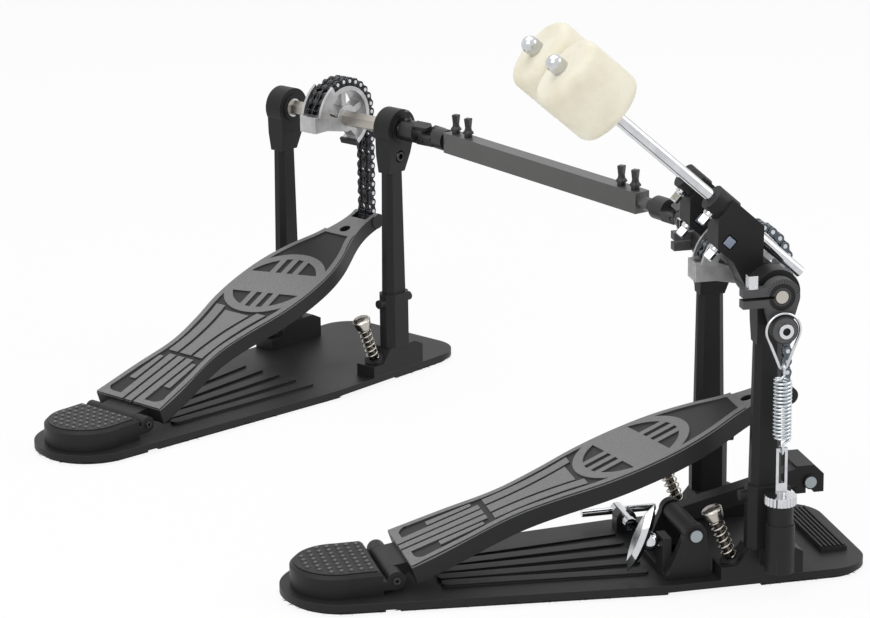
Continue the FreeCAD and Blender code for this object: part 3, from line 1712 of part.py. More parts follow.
def all_pieces():
    """Every node of the part, by name."""
    pieces = common_pieces("main", True)
    slave = common_pieces("slave", False)
    slave["slave_axle"] = slave_axle()
    pieces.update({key: placed(shape, slave_pose) for key, shape in slave.items()})
    pieces["main_axle"] = main_axle()
    pieces["axle_spigot"] = axle_spigot()
    pieces.update(beater_pieces("main", beater_spacing / 2, hex_flats))
    pieces.update(beater_pieces("second", -beater_spacing / 2, sleeve_hex))
    pieces.update(spring_pieces("right", False))
    pieces.update(spring_pieces("left", True))
    pieces["spring_rods"] = Part.makeCompound([spring_rod(), mirrored(spring_rod())])
    pieces["second_sleeve"] = second_sleeve()
    pieces["main_cross"] = cross_at(main_joint, 0, stroke / 2 * sleeve_ratio)
    pieces["slave_cross"] = cross_at(slave_joint, slave_yaw, stroke / 2)
    pieces["linkage_tube"] = linkage_tube()
    pieces["linkage_rod"] = linkage_rod()
    pieces["linkage_screws"] = linkage_screws()
    pieces["hoop_bracket"] = hoop_bracket()
    pieces["hoop_lever"] = hoop_lever()
    pieces["hoop_pad"] = hoop_pad()
    pieces["wing_screw"] = wing_screw()
    pieces["drum_key"] = drum_key()
    pieces["key_clip"] = key_clip()
    return pieces


print("spring self gap", round(self_gap(spring_point, spring_turns, spring_wire), 3))
print("spur coil self gap", round(self_gap(spur_coil_point, spur_turns, spur_wire), 3))
os.makedirs("parts", exist_ok=True)
for node, solid in all_pieces().items():
    solid.exportStep("parts/" + node + ".step")
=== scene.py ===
"""Double bass drum pedal: finishes, chains, springs, felts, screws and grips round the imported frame."""
import math

import bmesh
import bpy
from mathutils import Matrix, Vector, noise


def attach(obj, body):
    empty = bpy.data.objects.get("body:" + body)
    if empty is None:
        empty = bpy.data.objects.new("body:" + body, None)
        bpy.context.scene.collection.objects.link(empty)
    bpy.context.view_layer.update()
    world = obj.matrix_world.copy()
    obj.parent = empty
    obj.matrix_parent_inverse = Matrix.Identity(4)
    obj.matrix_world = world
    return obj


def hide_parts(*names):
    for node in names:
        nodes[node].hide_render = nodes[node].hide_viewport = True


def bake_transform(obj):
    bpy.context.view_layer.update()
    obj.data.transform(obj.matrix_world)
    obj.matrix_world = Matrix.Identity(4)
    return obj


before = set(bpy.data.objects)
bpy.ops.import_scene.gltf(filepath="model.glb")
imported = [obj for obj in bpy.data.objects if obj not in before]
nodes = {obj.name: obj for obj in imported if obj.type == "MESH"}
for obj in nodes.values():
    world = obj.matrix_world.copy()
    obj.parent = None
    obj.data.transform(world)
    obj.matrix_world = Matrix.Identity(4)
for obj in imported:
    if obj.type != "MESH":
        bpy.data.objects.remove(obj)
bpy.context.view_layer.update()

bl_info = {
    "name": "Double bass drum pedal",
    "version": (1, 0, 0),
    "blender": (4, 5, 0),
    "location": "View3D > Sidebar > Pedal",
    "description": "Dresses the packed double pedal with finishes, chains, springs, felts, screws and grips",
    "category": "Object",
}

MM = 0.001
AXLE_HEIGHT = 207 * MM
PLATE_TOP = 8 * MM
SPRING_X = 81.45 * MM
SLAVE_YAW = math.radians(34.26)
SLAVE_PLACE = Vector((-506, -170.3, 0)) * MM
BOARD_SLOPE = math.radians(19.2)
HEEL_POINT = Vector((0, -242.5, 27.2)) * MM
HINGE_POINT = Vector((0, -252, 17.5)) * MM
BEATER_LEAN = math.radians(47.9)
BEATER_OFFSET = 21 * MM
BEATER_X = 30 * MM
X_WAY = Vector((1, 0, 0))
Y_WAY = Vector((0, 1, 0))
Z_WAY = Vector((0, 0, 1))
AXLE_POINT = Z_WAY * AXLE_HEIGHT
SLAVE_TURN = Matrix.Rotation(SLAVE_YAW, 4, "Z")
SLAVE_POSE = Matrix.Translation(SLAVE_PLACE) @ SLAVE_TURN
BEATER_POSE = Matrix.Translation(AXLE_POINT) @ Matrix.Rotation(BEATER_LEAN, 4, "X")
PEDALS = {"main": Matrix.Identity(4), "slave": SLAVE_POSE}
BEATERS = (("main", BEATER_X), ("second", -BEATER_X))
SIDES = (("right", 1), ("left", -1))
BAR_MIDDLE = Vector((-285.01, -59.3, 207)) * MM
BAR_WAY = Vector((290.02, 118.61, 0)).normalized()
# Turns a slab made with its level along X, so that its level is along Z.
LAY_FLAT = Matrix(((0, 1, 0, 0), (0, 0, 1, 0), (1, 0, 0, 0), (0, 0, 0, 1)))

# Outline of a footboard, in millimetres: its length, and its half width at shares of that length.
BOARD_LENGTH = 286.37
BOARD_HALF_WIDTH = 39.5
BOARD_SHARES = (
    (0.0, 0.9), (0.14, 0.785), (0.272, 0.653), (0.384, 0.76), (0.489, 0.937),
    (0.594, 1.0), (0.698, 0.937), (0.786, 0.74), (0.873, 0.45), (1.0, 0.3),
)


def grey(level):
    return (level, level, level, 1.0)


def rgb(colour, factor=1.0):
    """Colour with alpha, darkened or lightened by a factor."""
    return (*(channel * factor for channel in colour), 1.0)


# Node building


def plug(tree, socket, value):
    """Give a socket a value, or a link where the value is another socket."""
    if isinstance(value, Wire):
        value = value.socket
    if isinstance(value, bpy.types.NodeSocket):
        tree.links.new(value, socket)
    else:
        socket.default_value = value


def add_node(tree, kind, settings=None, sockets=None):
    """Add a node: its settings first, then a value or a link for each socket named."""
    made = tree.nodes.new(kind)
    for key, value in (settings or {}).items():
        setattr(made, key, value)
    for key, value in (sockets or {}).items():
        plug(tree, made.inputs[key], value)
    return made


class Wire:
    """A node's output that stands in an expression; each operator adds a Math node."""

    def __init__(self, finish, socket):
        self.finish = finish
        self.socket = socket

    def math(self, operation, first, second):
        return self.finish.node("ShaderNodeMath", {"operation": operation}, {0: first, 1: second})

    def __add__(self, other):
        return self.math("ADD", self, other)

    def __radd__(self, other):
        return self.math("ADD", other, self)

    def __sub__(self, other):
        return self.math("SUBTRACT", self, other)

    def __rsub__(self, other):
        return self.math("SUBTRACT", other, self)

    def __mul__(self, other):
        return self.math("MULTIPLY", self, other)

    def __rmul__(self, other):
        return self.math("MULTIPLY", other, self)

    def __gt__(self, other):
        return self.math("GREATER_THAN", self, other)

    def __lt__(self, other):
        return self.math("LESS_THAN", self, other)

    def __abs__(self):
        return self.math("ABSOLUTE", self, 0.0)


class Finish:
    """A procedural material on the piece's own coordinates, built up in layers."""

    def __init__(self, name, constants=None):
        self.material = bpy.data.materials.new(name)
        self.material.use_nodes = True
        self.tree = self.material.node_tree
        self.shader = self.tree.nodes["Principled BSDF"]
        for key, value in (constants or {}).items():
            plug(self.tree, self.shader.inputs[key], value)
        self.place = self.node("ShaderNodeTexCoord", output="Object")
        self.start(None, None, None)

    def node(self, kind, settings=None, sockets=None, output=0):
        return Wire(self, add_node(self.tree, kind, settings, sockets).outputs[output])

    def grain(self, scale, detail=2.0, stretch=None):
        """Noise from 0 to 1, with features about one part in scale of a metre."""
        place = self.place
        if stretch:
            place = self.node("ShaderNodeVectorMath", {"operation": "MULTIPLY"}, {0: place, 1: stretch})
        sockets = {"Vector": place, "Scale": scale, "Detail": detail, "Roughness": 0.55}
        return self.node("ShaderNodeTexNoise", None, sockets)

    def ease(self, value, low, high):
        """Smooth step of a value from 0 at low to 1 at high."""
        sockets = {"Value": value, "From Min": low, "From Max": high}
        return self.node("ShaderNodeMapRange", {"interpolation_type": "SMOOTHSTEP"}, sockets)

    def mix(self, share, first, second):
        return self.node("ShaderNodeMix", {"data_type": "RGBA"}, {0: share, 6: first, 7: second}, 2)

    def along(self, origin, way):
        """Distance from a plane through a point, along its normal."""
        sockets = {0: self.place, 1: tuple(origin)}
        shifted = self.node("ShaderNodeVectorMath", {"operation": "SUBTRACT"}, sockets)
        sockets = {0: shifted, 1: tuple(way)}
        return self.node("ShaderNodeVectorMath", {"operation": "DOT_PRODUCT"}, sockets, "Value")

    def off_line(self, origin, first, second):
        """Distance from a line, given two ways square to it."""
        a = self.along(origin, first)
        b = self.along(origin, second)
        return self.node("ShaderNodeMath", {"operation": "SQRT"}, {0: a * a + b * b})

    def edge_wear_and_highlight(self, radius):
        """Share of wear and painted highlight on corners, from the turn of a rounded normal."""
        # Corners found here are painted lighter: partly wear, partly a painted highlight along edges.
        round_way = self.node("ShaderNodeBevel", {"samples": 4}, {"Radius": radius})
        flat_way = self.node("ShaderNodeNewGeometry", output="Normal")
        sockets = {0: round_way, 1: flat_way}
        facing = self.node("ShaderNodeVectorMath", {"operation": "DOT_PRODUCT"}, sockets, "Value")
        return self.ease(1 - facing, 0.03, 0.3)

    def start(self, colour, rough, metal):
        self.colour, self.rough, self.metal = colour, rough, metal

    def layer(self, share, colour, rough, metal):
        """Lay another finish over what is there, where its share is 1."""
        rest = 1 - share
        self.colour = self.mix(share, self.colour, colour)
        self.rough = rest * self.rough + share * rough
        self.metal = rest * self.metal + share * metal

    def close(self, height=None, distance=0.0, strength=0.3, round_edge=0.0):
        """Join the layers to the shader, with a bump and softened edges, and return the material."""
        feeds = {"Base Color": self.colour, "Roughness": self.rough, "Metallic": self.metal}
        normal = None
        if round_edge:
            normal = self.node("ShaderNodeBevel", {"samples": 4}, {"Radius": round_edge})
        if height is not None:
            sockets = {"Height": height, "Distance": distance, "Strength": strength}
            if normal:
                sockets["Normal"] = normal
            normal = self.node("ShaderNodeBump", None, sockets)
        if normal:
            feeds["Normal"] = normal
        for key, value in feeds.items():
            plug(self.tree, self.shader.inputs[key], value)
        return self.material


# Finishes of the castings, boards and metal pieces


def coated(name, colour):
    """Satin powder coat: clouded black, lighter on corners with wear and a painted highlight. Returns the
    finish and its fine grain.
    """
    finish = Finish(name, {"Specular IOR Level": 0.24})
    fine = finish.grain(1500, 3)
    cloud = finish.grain(30, 4)
    body = finish.mix(cloud, rgb(colour, 0.8), rgb(colour, 1.3))
    # Corners lightened towards grey: partly wear, partly a painted highlight.
    wear_and_highlight = finish.edge_wear_and_highlight(0.7 * MM) * (0.25 + 0.4 * finish.grain(220, 4))
    body = finish.mix(wear_and_highlight, body, grey(0.1))
    finish.start(body, 0.38 + 0.14 * cloud + 0.06 * fine, 0.0)
    return finish, fine


def coat_finish(look):
    finish, fine = coated("coat_black", look.coat_colour)
    return finish.close(fine, 0.05 * MM, 0.25, 0.5 * MM)


def board_finish(look, pedal, name, low, high):
    """Footboard: dark casting with a brushed, grainy grey above a level over its top."""
    pose = PEDALS[pedal]
    origin = pose @ HEEL_POINT
    turn = pose.to_3x3() @ Matrix.Rotation(BOARD_SLOPE, 3, "X")
    finish, fine = coated(pedal + name, look.board_body_colour)
    level = finish.along(origin, turn @ Z_WAY)
    past_hinge = finish.along(origin, turn @ Y_WAY) > -0.2 * MM
    raised = finish.ease(level, low, high) * past_hinge
    speckle = finish.grain(900, 5)
    blotch = finish.grain(60, 3)
    colour = look.board_top_colour
    dark = rgb(colour, 0.84)
    light = rgb(colour, 1.16)
    top = finish.mix(finish.ease(speckle, 0.3, 0.72), dark, light)
    top = finish.mix(0.25 * blotch, top, dark)
    finish.layer(raised, top, 0.42 + 0.16 * speckle, 0.35)
    return finish.close(0.5 * fine + raised * speckle, 0.09 * MM, 0.35, 0.4 * MM)


def heel_finish(look, pedal):
    """Heel plate: black coat, studs whose tops are lighter with scuffed wear and a painted highlight, and the
    dark ends of the hinge pin.
    """
    pose = PEDALS[pedal]
    turn = pose.to_3x3()
    finish, fine = coated(pedal + "_heel", look.coat_colour)
    height = finish.along(Vector(), Z_WAY)
    # Stud tops painted lighter grey: a painted highlight, varied by scuffed wear.
    stud = finish.ease(height, 25.05 * MM, 25.7 * MM)
    scuff = finish.grain(500, 4)
    finish.layer(stud * (0.6 + 0.4 * scuff), grey(0.17), 0.36 + 0.1 * scuff, 0.3)
    side = abs(finish.along(pose @ HINGE_POINT, turn @ X_WAY))
    off = finish.off_line(pose @ HINGE_POINT, turn @ Y_WAY, Z_WAY)
    pin = (off < 2.55 * MM) * (side > 31.9 * MM)
    finish.layer(pin, grey(0.06), 0.35, 0.6)
    return finish.close(fine, 0.05 * MM, 0.25, 0.4 * MM)


def metal_finish(name, colour, rough, speck, scratch, round_edge):
    """Bare or plated metal: faint clouding, fine scratches and a soft edge."""
    finish = Finish(name)
    cloud = finish.grain(45, 3)
    fine = finish.grain(1100, 4)
    dark = rgb(colour, 1 - speck)
    finish.start(finish.mix(finish.ease(cloud, 0.35, 0.75), rgb(colour), dark), rough + scratch * fine, 1.0)
    return finish.close(fine, 0.02 * MM, scratch, round_edge)


def chrome_finish(look, name):
    """Polished plating, faintly clouded by handling."""
    finish = Finish(name)
    fine = finish.grain(1100, 4)
    smear = finish.ease(finish.grain(120, 4), 0.35, 0.7)
    dull = rgb(look.chrome_colour, 0.86)
    finish.start(finish.mix(smear, rgb(look.chrome_colour), dull), 0.06 + 0.05 * fine + 0.04 * smear, 1.0)
    return finish.close(fine, 0.02 * MM, 0.05, 0.3 * MM)


def cast_finish(look):
    """Bare satin casting of the chain cams, with a sand-cast grain."""
    finish = Finish("cast_silver")
    fine = finish.grain(1300, 4)
    cloud = finish.grain(70, 4)
    colour = look.cast_colour
    dark = rgb(colour, 0.55)
    body = finish.mix(0.15 + 0.6 * finish.ease(cloud, 0.35, 0.7), rgb(colour), dark)
    # Corners lightened towards pale grey: partly wear, partly a painted highlight.
    body = finish.mix(0.5 * finish.edge_wear_and_highlight(0.8 * MM), body, grey(0.86))
    finish.start(body, 0.36 + 0.16 * fine, 0.85)
    return finish.close(fine, 0.08 * MM, 0.3, 0.5 * MM)


def chain_finish(look, pedal, colour):
    """Chain: plates in a dark or blued finish, and bright pin ends."""
    pose = PEDALS[pedal]
    finish = Finish(pedal + "_chain")
    cloud = finish.grain(160, 4)
    fine = finish.grain(1500, 3)
    dark = rgb(colour, 0.5)
    body = finish.mix(cloud, dark, rgb(colour))
    # Plate corners lightened towards the pin colour: partly wear, partly a painted highlight.
    body = finish.mix(0.6 * finish.edge_wear_and_highlight(0.5 * MM), body, rgb(look.chain_pin_colour))
    finish.start(body, 0.26 + 0.12 * cloud, 0.75)
    side = abs(finish.along(pose @ Vector(), pose.to_3x3() @ X_WAY))
    finish.layer(finish.ease(side, 7.16 * MM, 7.3 * MM), rgb(look.chain_pin_colour), 0.2, 1.0)
    return finish.close(fine, 0.03 * MM, 0.2, 0.3 * MM)


def hub_finish(look, name, x):
    """Beater hub: black coat with the blued square screw head in its pocket."""
    finish, fine = coated(name + "_hub_coat", look.coat_colour)
    turn = BEATER_POSE.to_3x3()
    origin = BEATER_POSE @ Vector((x, 5.4 * MM, 37.5 * MM))
    across = abs(finish.along(origin, turn @ Y_WAY)) < 3.3 * MM
    up = abs(finish.along(origin, turn @ Z_WAY)) < 3.3 * MM
    side = finish.along(Vector((x, 0, 0)), X_WAY) > 8.05 * MM
    finish.layer(across * up * side, (0.26, 0.3, 0.38, 1.0), 0.3 + 0.15 * finish.grain(300, 4), 0.8)
    return finish.close(fine, 0.05 * MM, 0.25, 0.5 * MM)


def rocker_finish(look, side):
    """Spring rocker: dark grey clamp with index marks, chrome screw, and a bolted roller with a grey face."""
    finish, fine = coated(side + "_rocker_coat", look.rocker_colour)
    reach = abs(finish.along(Vector(), X_WAY))
    back = finish.along(AXLE_POINT, Y_WAY)
    height = finish.along(AXLE_POINT, Z_WAY)
    off = finish.off_line(AXLE_POINT, Y_WAY, Z_WAY)
    angle = finish.node("ShaderNodeMath", {"operation": "ARCTAN2"}, {0: height, 1: back})
    wave = finish.node("ShaderNodeMath", {"operation": "SINE"}, {0: 36 * angle})
    face = reach > 77.6 * MM
    ring = (off > 9.6 * MM) * (off < 11.7 * MM) * face * (height > 1.5 * MM)
    finish.layer(finish.ease(wave, 0.6, 0.9) * ring, grey(0.01), 0.5, 0.0)
    boss = (off > 6.2 * MM) * (off < 9.2 * MM) * face
    finish.layer(boss, grey(0.012), 0.4, 0.0)
    screw = (back < -15 * MM) * (height > 6.6 * MM)
    finish.layer(screw, rgb(look.chrome_colour), 0.08, 1.0)
    from_bolt = finish.off_line(AXLE_POINT - Z_WAY * 21 * MM, Y_WAY, Z_WAY)
    below = height < -11.5 * MM
    roller = below * (reach > 78.1 * MM)
    finish.layer(roller, grey(0.03), 0.4 + 0.1 * fine, 0.0)
    finish.layer(roller * (reach > 84.6 * MM) * (from_bolt < 8.5 * MM), grey(0.1), 0.4, 0.2)
    bolt = below * (reach > 84.73 * MM)
    finish.layer(bolt, rgb(look.chrome_colour), 0.12, 1.0)
    finish.layer(bolt * (from_bolt < 2.65 * MM), grey(0.015), 0.5, 0.0)
    return finish.close(fine, 0.04 * MM, 0.2, 0.45 * MM)


def axle_finish(look):
    """Main axle in satin nickel, with a dark ring round its bright end."""
    finish = Finish("main_axle_steel")
    fine = finish.grain(1100, 4)
    finish.start(rgb(look.nickel_colour), 0.3 + 0.12 * fine, 1.0)
    end = abs(finish.along(Vector(), X_WAY)) > 76.5 * MM
    finish.layer(end * (finish.off_line(AXLE_POINT, Y_WAY, Z_WAY) > 4.3 * MM), grey(0.02), 0.4, 0.0)
    return finish.close(fine, 0.02 * MM, 0.12, 0.3 * MM)


def yoke_finish(look, name, origin, way, start):
    """Axle in satin nickel whose drive yoke, past its bearing, has the black coat."""
    finish = Finish(name)
    brushed = finish.grain(900, 3)
    cloud = finish.grain(40, 3)
    colour = look.nickel_colour
    dark = rgb(colour, 0.75)
    finish.start(finish.mix(cloud, dark, rgb(colour)), 0.26 + 0.14 * brushed, 1.0)
    yoke = finish.along(origin, way) > start
    # Yoke corners lightened towards grey: partly wear, partly a painted highlight.
    wear_and_highlight = finish.edge_wear_and_highlight(0.7 * MM)
    black = finish.mix(0.5 * wear_and_highlight, rgb(look.coat_colour), grey(0.16))
    finish.layer(yoke, black, 0.36 + 0.1 * cloud, 0.0)
    return finish.close(brushed, 0.03 * MM, 0.2, 0.4 * MM)


def clamp_finish(look, name, screw):
    """Hoop clamp casting in the black coat, with its zinc rivet or screw end in a dark ring."""
    finish, fine = coated(name, look.coat_colour)
    centre, radius, reach = screw
    off = finish.off_line(centre, Y_WAY, Z_WAY)
    share = (off < radius) * (finish.along(Vector(), X_WAY) > reach)
    finish.layer(share, grey(0.012), 0.4, 0.0)
    finish.layer(share * (off < radius - 0.9 * MM), rgb((0.32, 0.36, 0.38)), 0.3 + 0.1 * fine, 0.9)
    return finish.close(fine, 0.05 * MM, 0.25, 0.5 * MM)


def bearing_finish(look, pedal):
    """Bearing seals in black round a bright inner edge."""
    pose = PEDALS[pedal]
    finish, fine = coated(pedal + "_bearing_seal", look.coat_colour)
    off = finish.off_line(pose @ AXLE_POINT, pose.to_3x3() @ Y_WAY, Z_WAY)
    finish.layer(off < 7.4 * MM, grey(0.6), 0.2 + 0.1 * fine, 1.0)
    return finish.close(fine, 0.03 * MM, 0.2, 0.3 * MM)


def bar_finish(look):
    """Drive bar in a dark blackened steel, with the black coat on the yokes past its ends."""
    finish = Finish("bar_steel")
    fine = finish.grain(1200, 3)
    cloud = finish.grain(35, 4)
    dark = rgb(look.bar_colour, 0.7)
    body = finish.mix(cloud, dark, rgb(look.bar_colour))
    # Bar corners lightened towards grey: partly wear, partly a painted highlight.
    body = finish.mix(0.6 * finish.edge_wear_and_highlight(0.8 * MM), body, grey(0.22))
    finish.start(body, 0.32 + 0.12 * cloud, 0.45)
    ends = abs(finish.along(BAR_MIDDLE, BAR_WAY)) > 124 * MM
    finish.layer(ends, rgb(look.coat_colour), 0.42, 0.0)
    return finish.close(fine, 0.03 * MM, 0.25, 0.5 * MM)


def matt_finish(name, colour, rough, scale):
    """Rubber or moulded plastic with a dull grain."""
    finish = Finish(name)
    fine = finish.grain(scale, 4)
    cloud = finish.grain(60, 3)
    dark = rgb(colour, 0.6)
    finish.start(finish.mix(cloud, dark, rgb(colour)), rough + 0.12 * fine, 0.0)
    return finish.close(fine, 0.08 * MM, 0.35)


def felt_finish(look):
    """Dense wool felt: matted fibres, faint blotches and a soft sheen."""
    finish = Finish("wool_felt", {"Sheen Weight": 0.35, "Sheen Roughness": 0.5})
    fibre = finish.grain(1400, 6, (1.0, 0.35, 1.0))
    tuft = finish.grain(420, 5)
    blotch = finish.grain(38, 4)
    colour = look.felt_colour
    shade = rgb(tuple(channel * share for channel, share in zip(colour, (0.9, 0.88, 0.82))))
    pale = rgb(tuple(min(1.0, channel * 1.06) for channel in colour))
    body = finish.mix(finish.ease(blotch, 0.35, 0.7), rgb(colour), shade)
    body = finish.mix(0.35 * finish.ease(fibre, 0.45, 0.75), body, pale)
    finish.start(body, 0.92 + 0.06 * tuft, 0.0)
    return finish.close(0.6 * tuft + 0.4 * fibre, 0.5 * MM, 0.35)


# Geometry helpers


def new_piece(name, mesh):
    piece = bpy.data.objects.new(name, mesh)
    bpy.context.scene.collection.objects.link(piece)
    return piece


def mesh_from(name, points, edges=(), faces=()):
    mesh = bpy.data.meshes.new(name)
    mesh.from_pydata(points, edges, faces)
    mesh.update()
    return mesh


def node_tree(name, inputs):
    """Geometry tree with a geometry input, named inputs and a material. Returns it and its input sockets."""
    tree = bpy.data.node_groups.new(name, "GeometryNodeTree")
    for label, kind in {"Geometry": "Geometry", **inputs, "Material": "Material"}.items():
        tree.interface.new_socket(label, in_out="INPUT", socket_type="NodeSocket" + kind)
    tree.interface.new_socket("Geometry", in_out="OUTPUT", socket_type="NodeSocketGeometry")
    return tree, tree.nodes.new("NodeGroupInput").outputs


def close_tree(tree, source, geometry):
    """End a tree in Realize Instances, smooth shading and Set Material."""
    for kind in ("GeometryNodeRealizeInstances", "GeometryNodeSetShadeSmooth"):
        geometry = add_node(tree, kind, None, {"Geometry": geometry}).outputs["Geometry"]
    sockets = {"Geometry": geometry, "Material": source["Material"]}
    geometry = add_node(tree, "GeometryNodeSetMaterial", None, sockets).outputs["Geometry"]
    add_node(tree, "NodeGroupOutput", None, {"Geometry": geometry})
    return tree


def wire_tree():
    """Tree that sweeps a round wire along the input's edges."""
    tree, source = node_tree("pedal_wire", {"Wire Radius": "Float", "Sides": "Int"})
    curve = add_node(tree, "GeometryNodeMeshToCurve", None, {"Mesh": source["Geometry"]})
    sockets = {"Radius": source["Wire Radius"], "Resolution": source["Sides"]}
    ring = add_node(tree, "GeometryNodeCurvePrimitiveCircle", None, sockets)
    sockets = {"Curve": curve.outputs["Curve"], "Profile Curve": ring.outputs["Curve"], "Fill Caps": True}
    sweep = add_node(tree, "GeometryNodeCurveToMesh", None, sockets)
    return close_tree(tree, source, sweep.outputs["Mesh"])


def bristle_tree():
    """Tree that sets short hooked bristles on the sides of a floor strip."""
    inputs = {"Density": "Float", "Length": "Float", "Thickness": "Float", "Low Edge": "Float", "Seed": "Int"}
    tree, source = node_tree("floor_bristles", inputs)
    seed = source["Seed"]

    def add(kind, sockets=None, **settings):
        return add_node(tree, kind, settings, sockets).outputs

    # Points on the upright faces alone, without those near the top edge.
    normal = add("ShaderNodeSeparateXYZ", {"Vector": add("GeometryNodeInputNormal")["Normal"]})
    tilt = add("ShaderNodeMath", {0: normal["Z"]}, operation="ABSOLUTE")
    upright = add("FunctionNodeCompare", {"A": tilt[0], "B": 0.3}, operation="LESS_THAN")
    sockets = {
        "Mesh": source["Geometry"], "Selection": upright["Result"], "Density": source["Density"], "Seed": seed,
    }
    scatter = add("GeometryNodeDistributePointsOnFaces", sockets)
    place = add("ShaderNodeSeparateXYZ", {"Vector": add("GeometryNodeInputPosition")["Position"]})
    low = add("FunctionNodeCompare", {"A": place["Z"], "B": source["Low Edge"]}, operation="LESS_THAN")
    sockets = {"Geometry": scatter["Points"], "Selection": low["Result"]}
    kept = add("GeometryNodeDeleteGeometry", sockets, domain="POINT")
    # A thin cone on each point, leaning and shortened at random.
    sockets = {
        "Vertices": 4, "Radius Top": 0.0, "Radius Bottom": source["Thickness"], "Depth": source["Length"],
    }
    cone = add("GeometryNodeMeshCone", sockets, fill_type="NGON")
    sockets = {0: (-0.14, -0.14, -0.6), 1: (0.14, 0.14, 0.6), "Seed": seed}
    spread = add("FunctionNodeRandomValue", sockets, data_type="FLOAT_VECTOR")
    lean = add("FunctionNodeEulerToRotation", {"Euler": spread[0]})
    turn = add("FunctionNodeRotateRotation", {"Rotation": scatter["Rotation"], "Rotate By": lean["Rotation"]})
    size = add("FunctionNodeRandomValue", {2: 0.5, 3: 1.0, "Seed": seed})
    sockets = {
        "Points": kept["Geometry"], "Instance": cone["Mesh"], "Rotation": turn["Rotation"], "Scale": size[1],
    }
    stand = add("GeometryNodeInstanceOnPoints", sockets)
    return close_tree(tree, source, stand["Instances"])


def stand_tree():
    """Tree that stands a pattern on each input point, its Z along the point's way and its X along a side."""
    tree, source = node_tree("pedal_stand", {"Pattern": "Object", "Side": "Vector", "Size": "Float"})
    info = add_node(tree, "GeometryNodeObjectInfo", None, {"Object": source["Pattern"]})
    way = add_node(tree, "GeometryNodeInputNamedAttribute", {"data_type": "FLOAT_VECTOR"}, {"Name": "way"})
    sockets = {"Vector": way.outputs["Attribute"]}
    align = add_node(tree, "FunctionNodeAlignRotationToVector", {"axis": "Z"}, sockets)
    sockets = {"Rotation": align.outputs["Rotation"], "Vector": source["Side"]}
    spin = add_node(tree, "FunctionNodeAlignRotationToVector", {"axis": "X", "pivot_axis": "Z"}, sockets)
    sockets = {
        "Points": source["Geometry"], "Instance": info.outputs["Geometry"],
        "Rotation": spin.outputs["Rotation"], "Scale": source["Size"],
    }
    stand = add_node(tree, "GeometryNodeInstanceOnPoints", None, sockets)
    return close_tree(tree, source, stand.outputs["Instances"])


def grown(piece, tree, values, material):
    """Run a tree on a piece, keep its result as a plain mesh and drop the modifier."""
    modifier = piece.modifiers.new(tree.name, "NODES")
    modifier.node_group = tree
    sockets = {item.name: item.identifier for item in tree.interface.items_tree if item.in_out == "INPUT"}
    for label, value in {**values, "Material": material}.items():
        modifier[sockets[label]] = value
    bpy.context.view_layer.update()
    graph = bpy.context.evaluated_depsgraph_get()
    mesh = bpy.data.meshes.new_from_object(piece.evaluated_get(graph))
    mesh.name = piece.name
    piece.modifiers.remove(modifier)
    piece.data = mesh
    if not mesh.polygons:
        raise RuntimeError(piece.name + " came out empty")
    return piece


def path_piece(name, points):
    edges = [(i, i + 1) for i in range(len(points) - 1)]
    return new_piece(name, mesh_from(name, points, edges))


def ways_piece(name, spots):
    """Points with a way each, for a pattern to stand on."""
    mesh = mesh_from(name, [place for place, way in spots])
    stored = mesh.attributes.new("way", "FLOAT_VECTOR", "POINT")
    for item, (place, way) in zip(stored.data, spots):
        item.vector = way
    return new_piece(name, mesh)


def skin(bm, first, second):
    """Faces between two closed rings of as many points."""
    for i in range(len(first)):
        j = (i + 1) % len(first)
        bm.faces.new((first[i], first[j], second[j], second[i]))


def lathe(name, profile, sides, bump=0.0):
    """Closed turned mesh about Z from (radius, height) pairs, roughened where asked."""
    bm = bmesh.new()
    turns = [2 * math.pi * i / sides for i in range(sides)]
    rings = []
    for radius, height in profile:
        rings.append([bm.verts.new((radius * math.cos(t), radius * math.sin(t), height)) for t in turns])
    for low, high in zip(rings, rings[1:]):
        skin(bm, low, high)
    bm.faces.new(list(reversed(rings[0])))
    bm.faces.new(rings[-1])
    if bump:
        for vert in bm.verts:
            way = vert.co.normalized()
            vert.co += way * (bump * noise.noise(vert.co * 130) + 0.4 * bump * noise.noise(vert.co * 420))
    for face in bm.faces:
        face.smooth = len(face.verts) == 4
    return mesh_of(name, bm)


def prism(bm, outline, low, high):
    """Closed slab on an outline of (y, z) pairs, between two X levels."""
    near = [bm.verts.new((low, y, z)) for y, z in outline]
    far = [bm.verts.new((high, y, z)) for y, z in outline]
    bm.faces.new(near)
    bm.faces.new(list(reversed(far)))
    for i in range(len(outline)):
        j = (i + 1) % len(outline)
        bm.faces.new((near[j], near[i], far[i], far[j]))


def board_half(u):
    """Half width of a footboard at a distance from its heel end, in millimetres."""
    spots = [(along * BOARD_LENGTH, across * BOARD_HALF_WIDTH) for along, across in BOARD_SHARES]
    last = len(spots) - 2
    i = max(k for k in range(last + 1) if k == 0 or spots[k][0] <= u)
    (u0, h0), (u1, h1) = spots[i], spots[i + 1]
    before, after = spots[max(i - 1, 0)], spots[min(i + 2, last + 1)]
    start = (h1 - before[1]) / (u1 - before[0])
    end = (after[1] - h0) / (after[0] - u0)
    t = (u - u0) / (u1 - u0)
    bend = (2 * t ** 3 - 3 * t ** 2 + 1) * h0 + (3 * t ** 2 - 2 * t ** 3) * h1
    return bend + (u1 - u0) * ((t ** 3 - 2 * t ** 2 + t) * start + (t ** 3 - t ** 2) * end)


def board_side(inset, start, end, sign):
    """Points along one side of a footboard, as (across, along) pairs in millimetres."""
    count = max(int(abs(end - start) / 6), 1)
    spots = [start + (end - start) * i / count for i in range(count + 1)]
    return [(sign * (board_half(u) - inset), u) for u in spots]


def mesh_of(name, bm):
    bmesh.ops.recalc_face_normals(bm, faces=bm.faces)
    mesh = bpy.data.meshes.new(name)
    bm.to_mesh(mesh)
    bm.free()
    return mesh


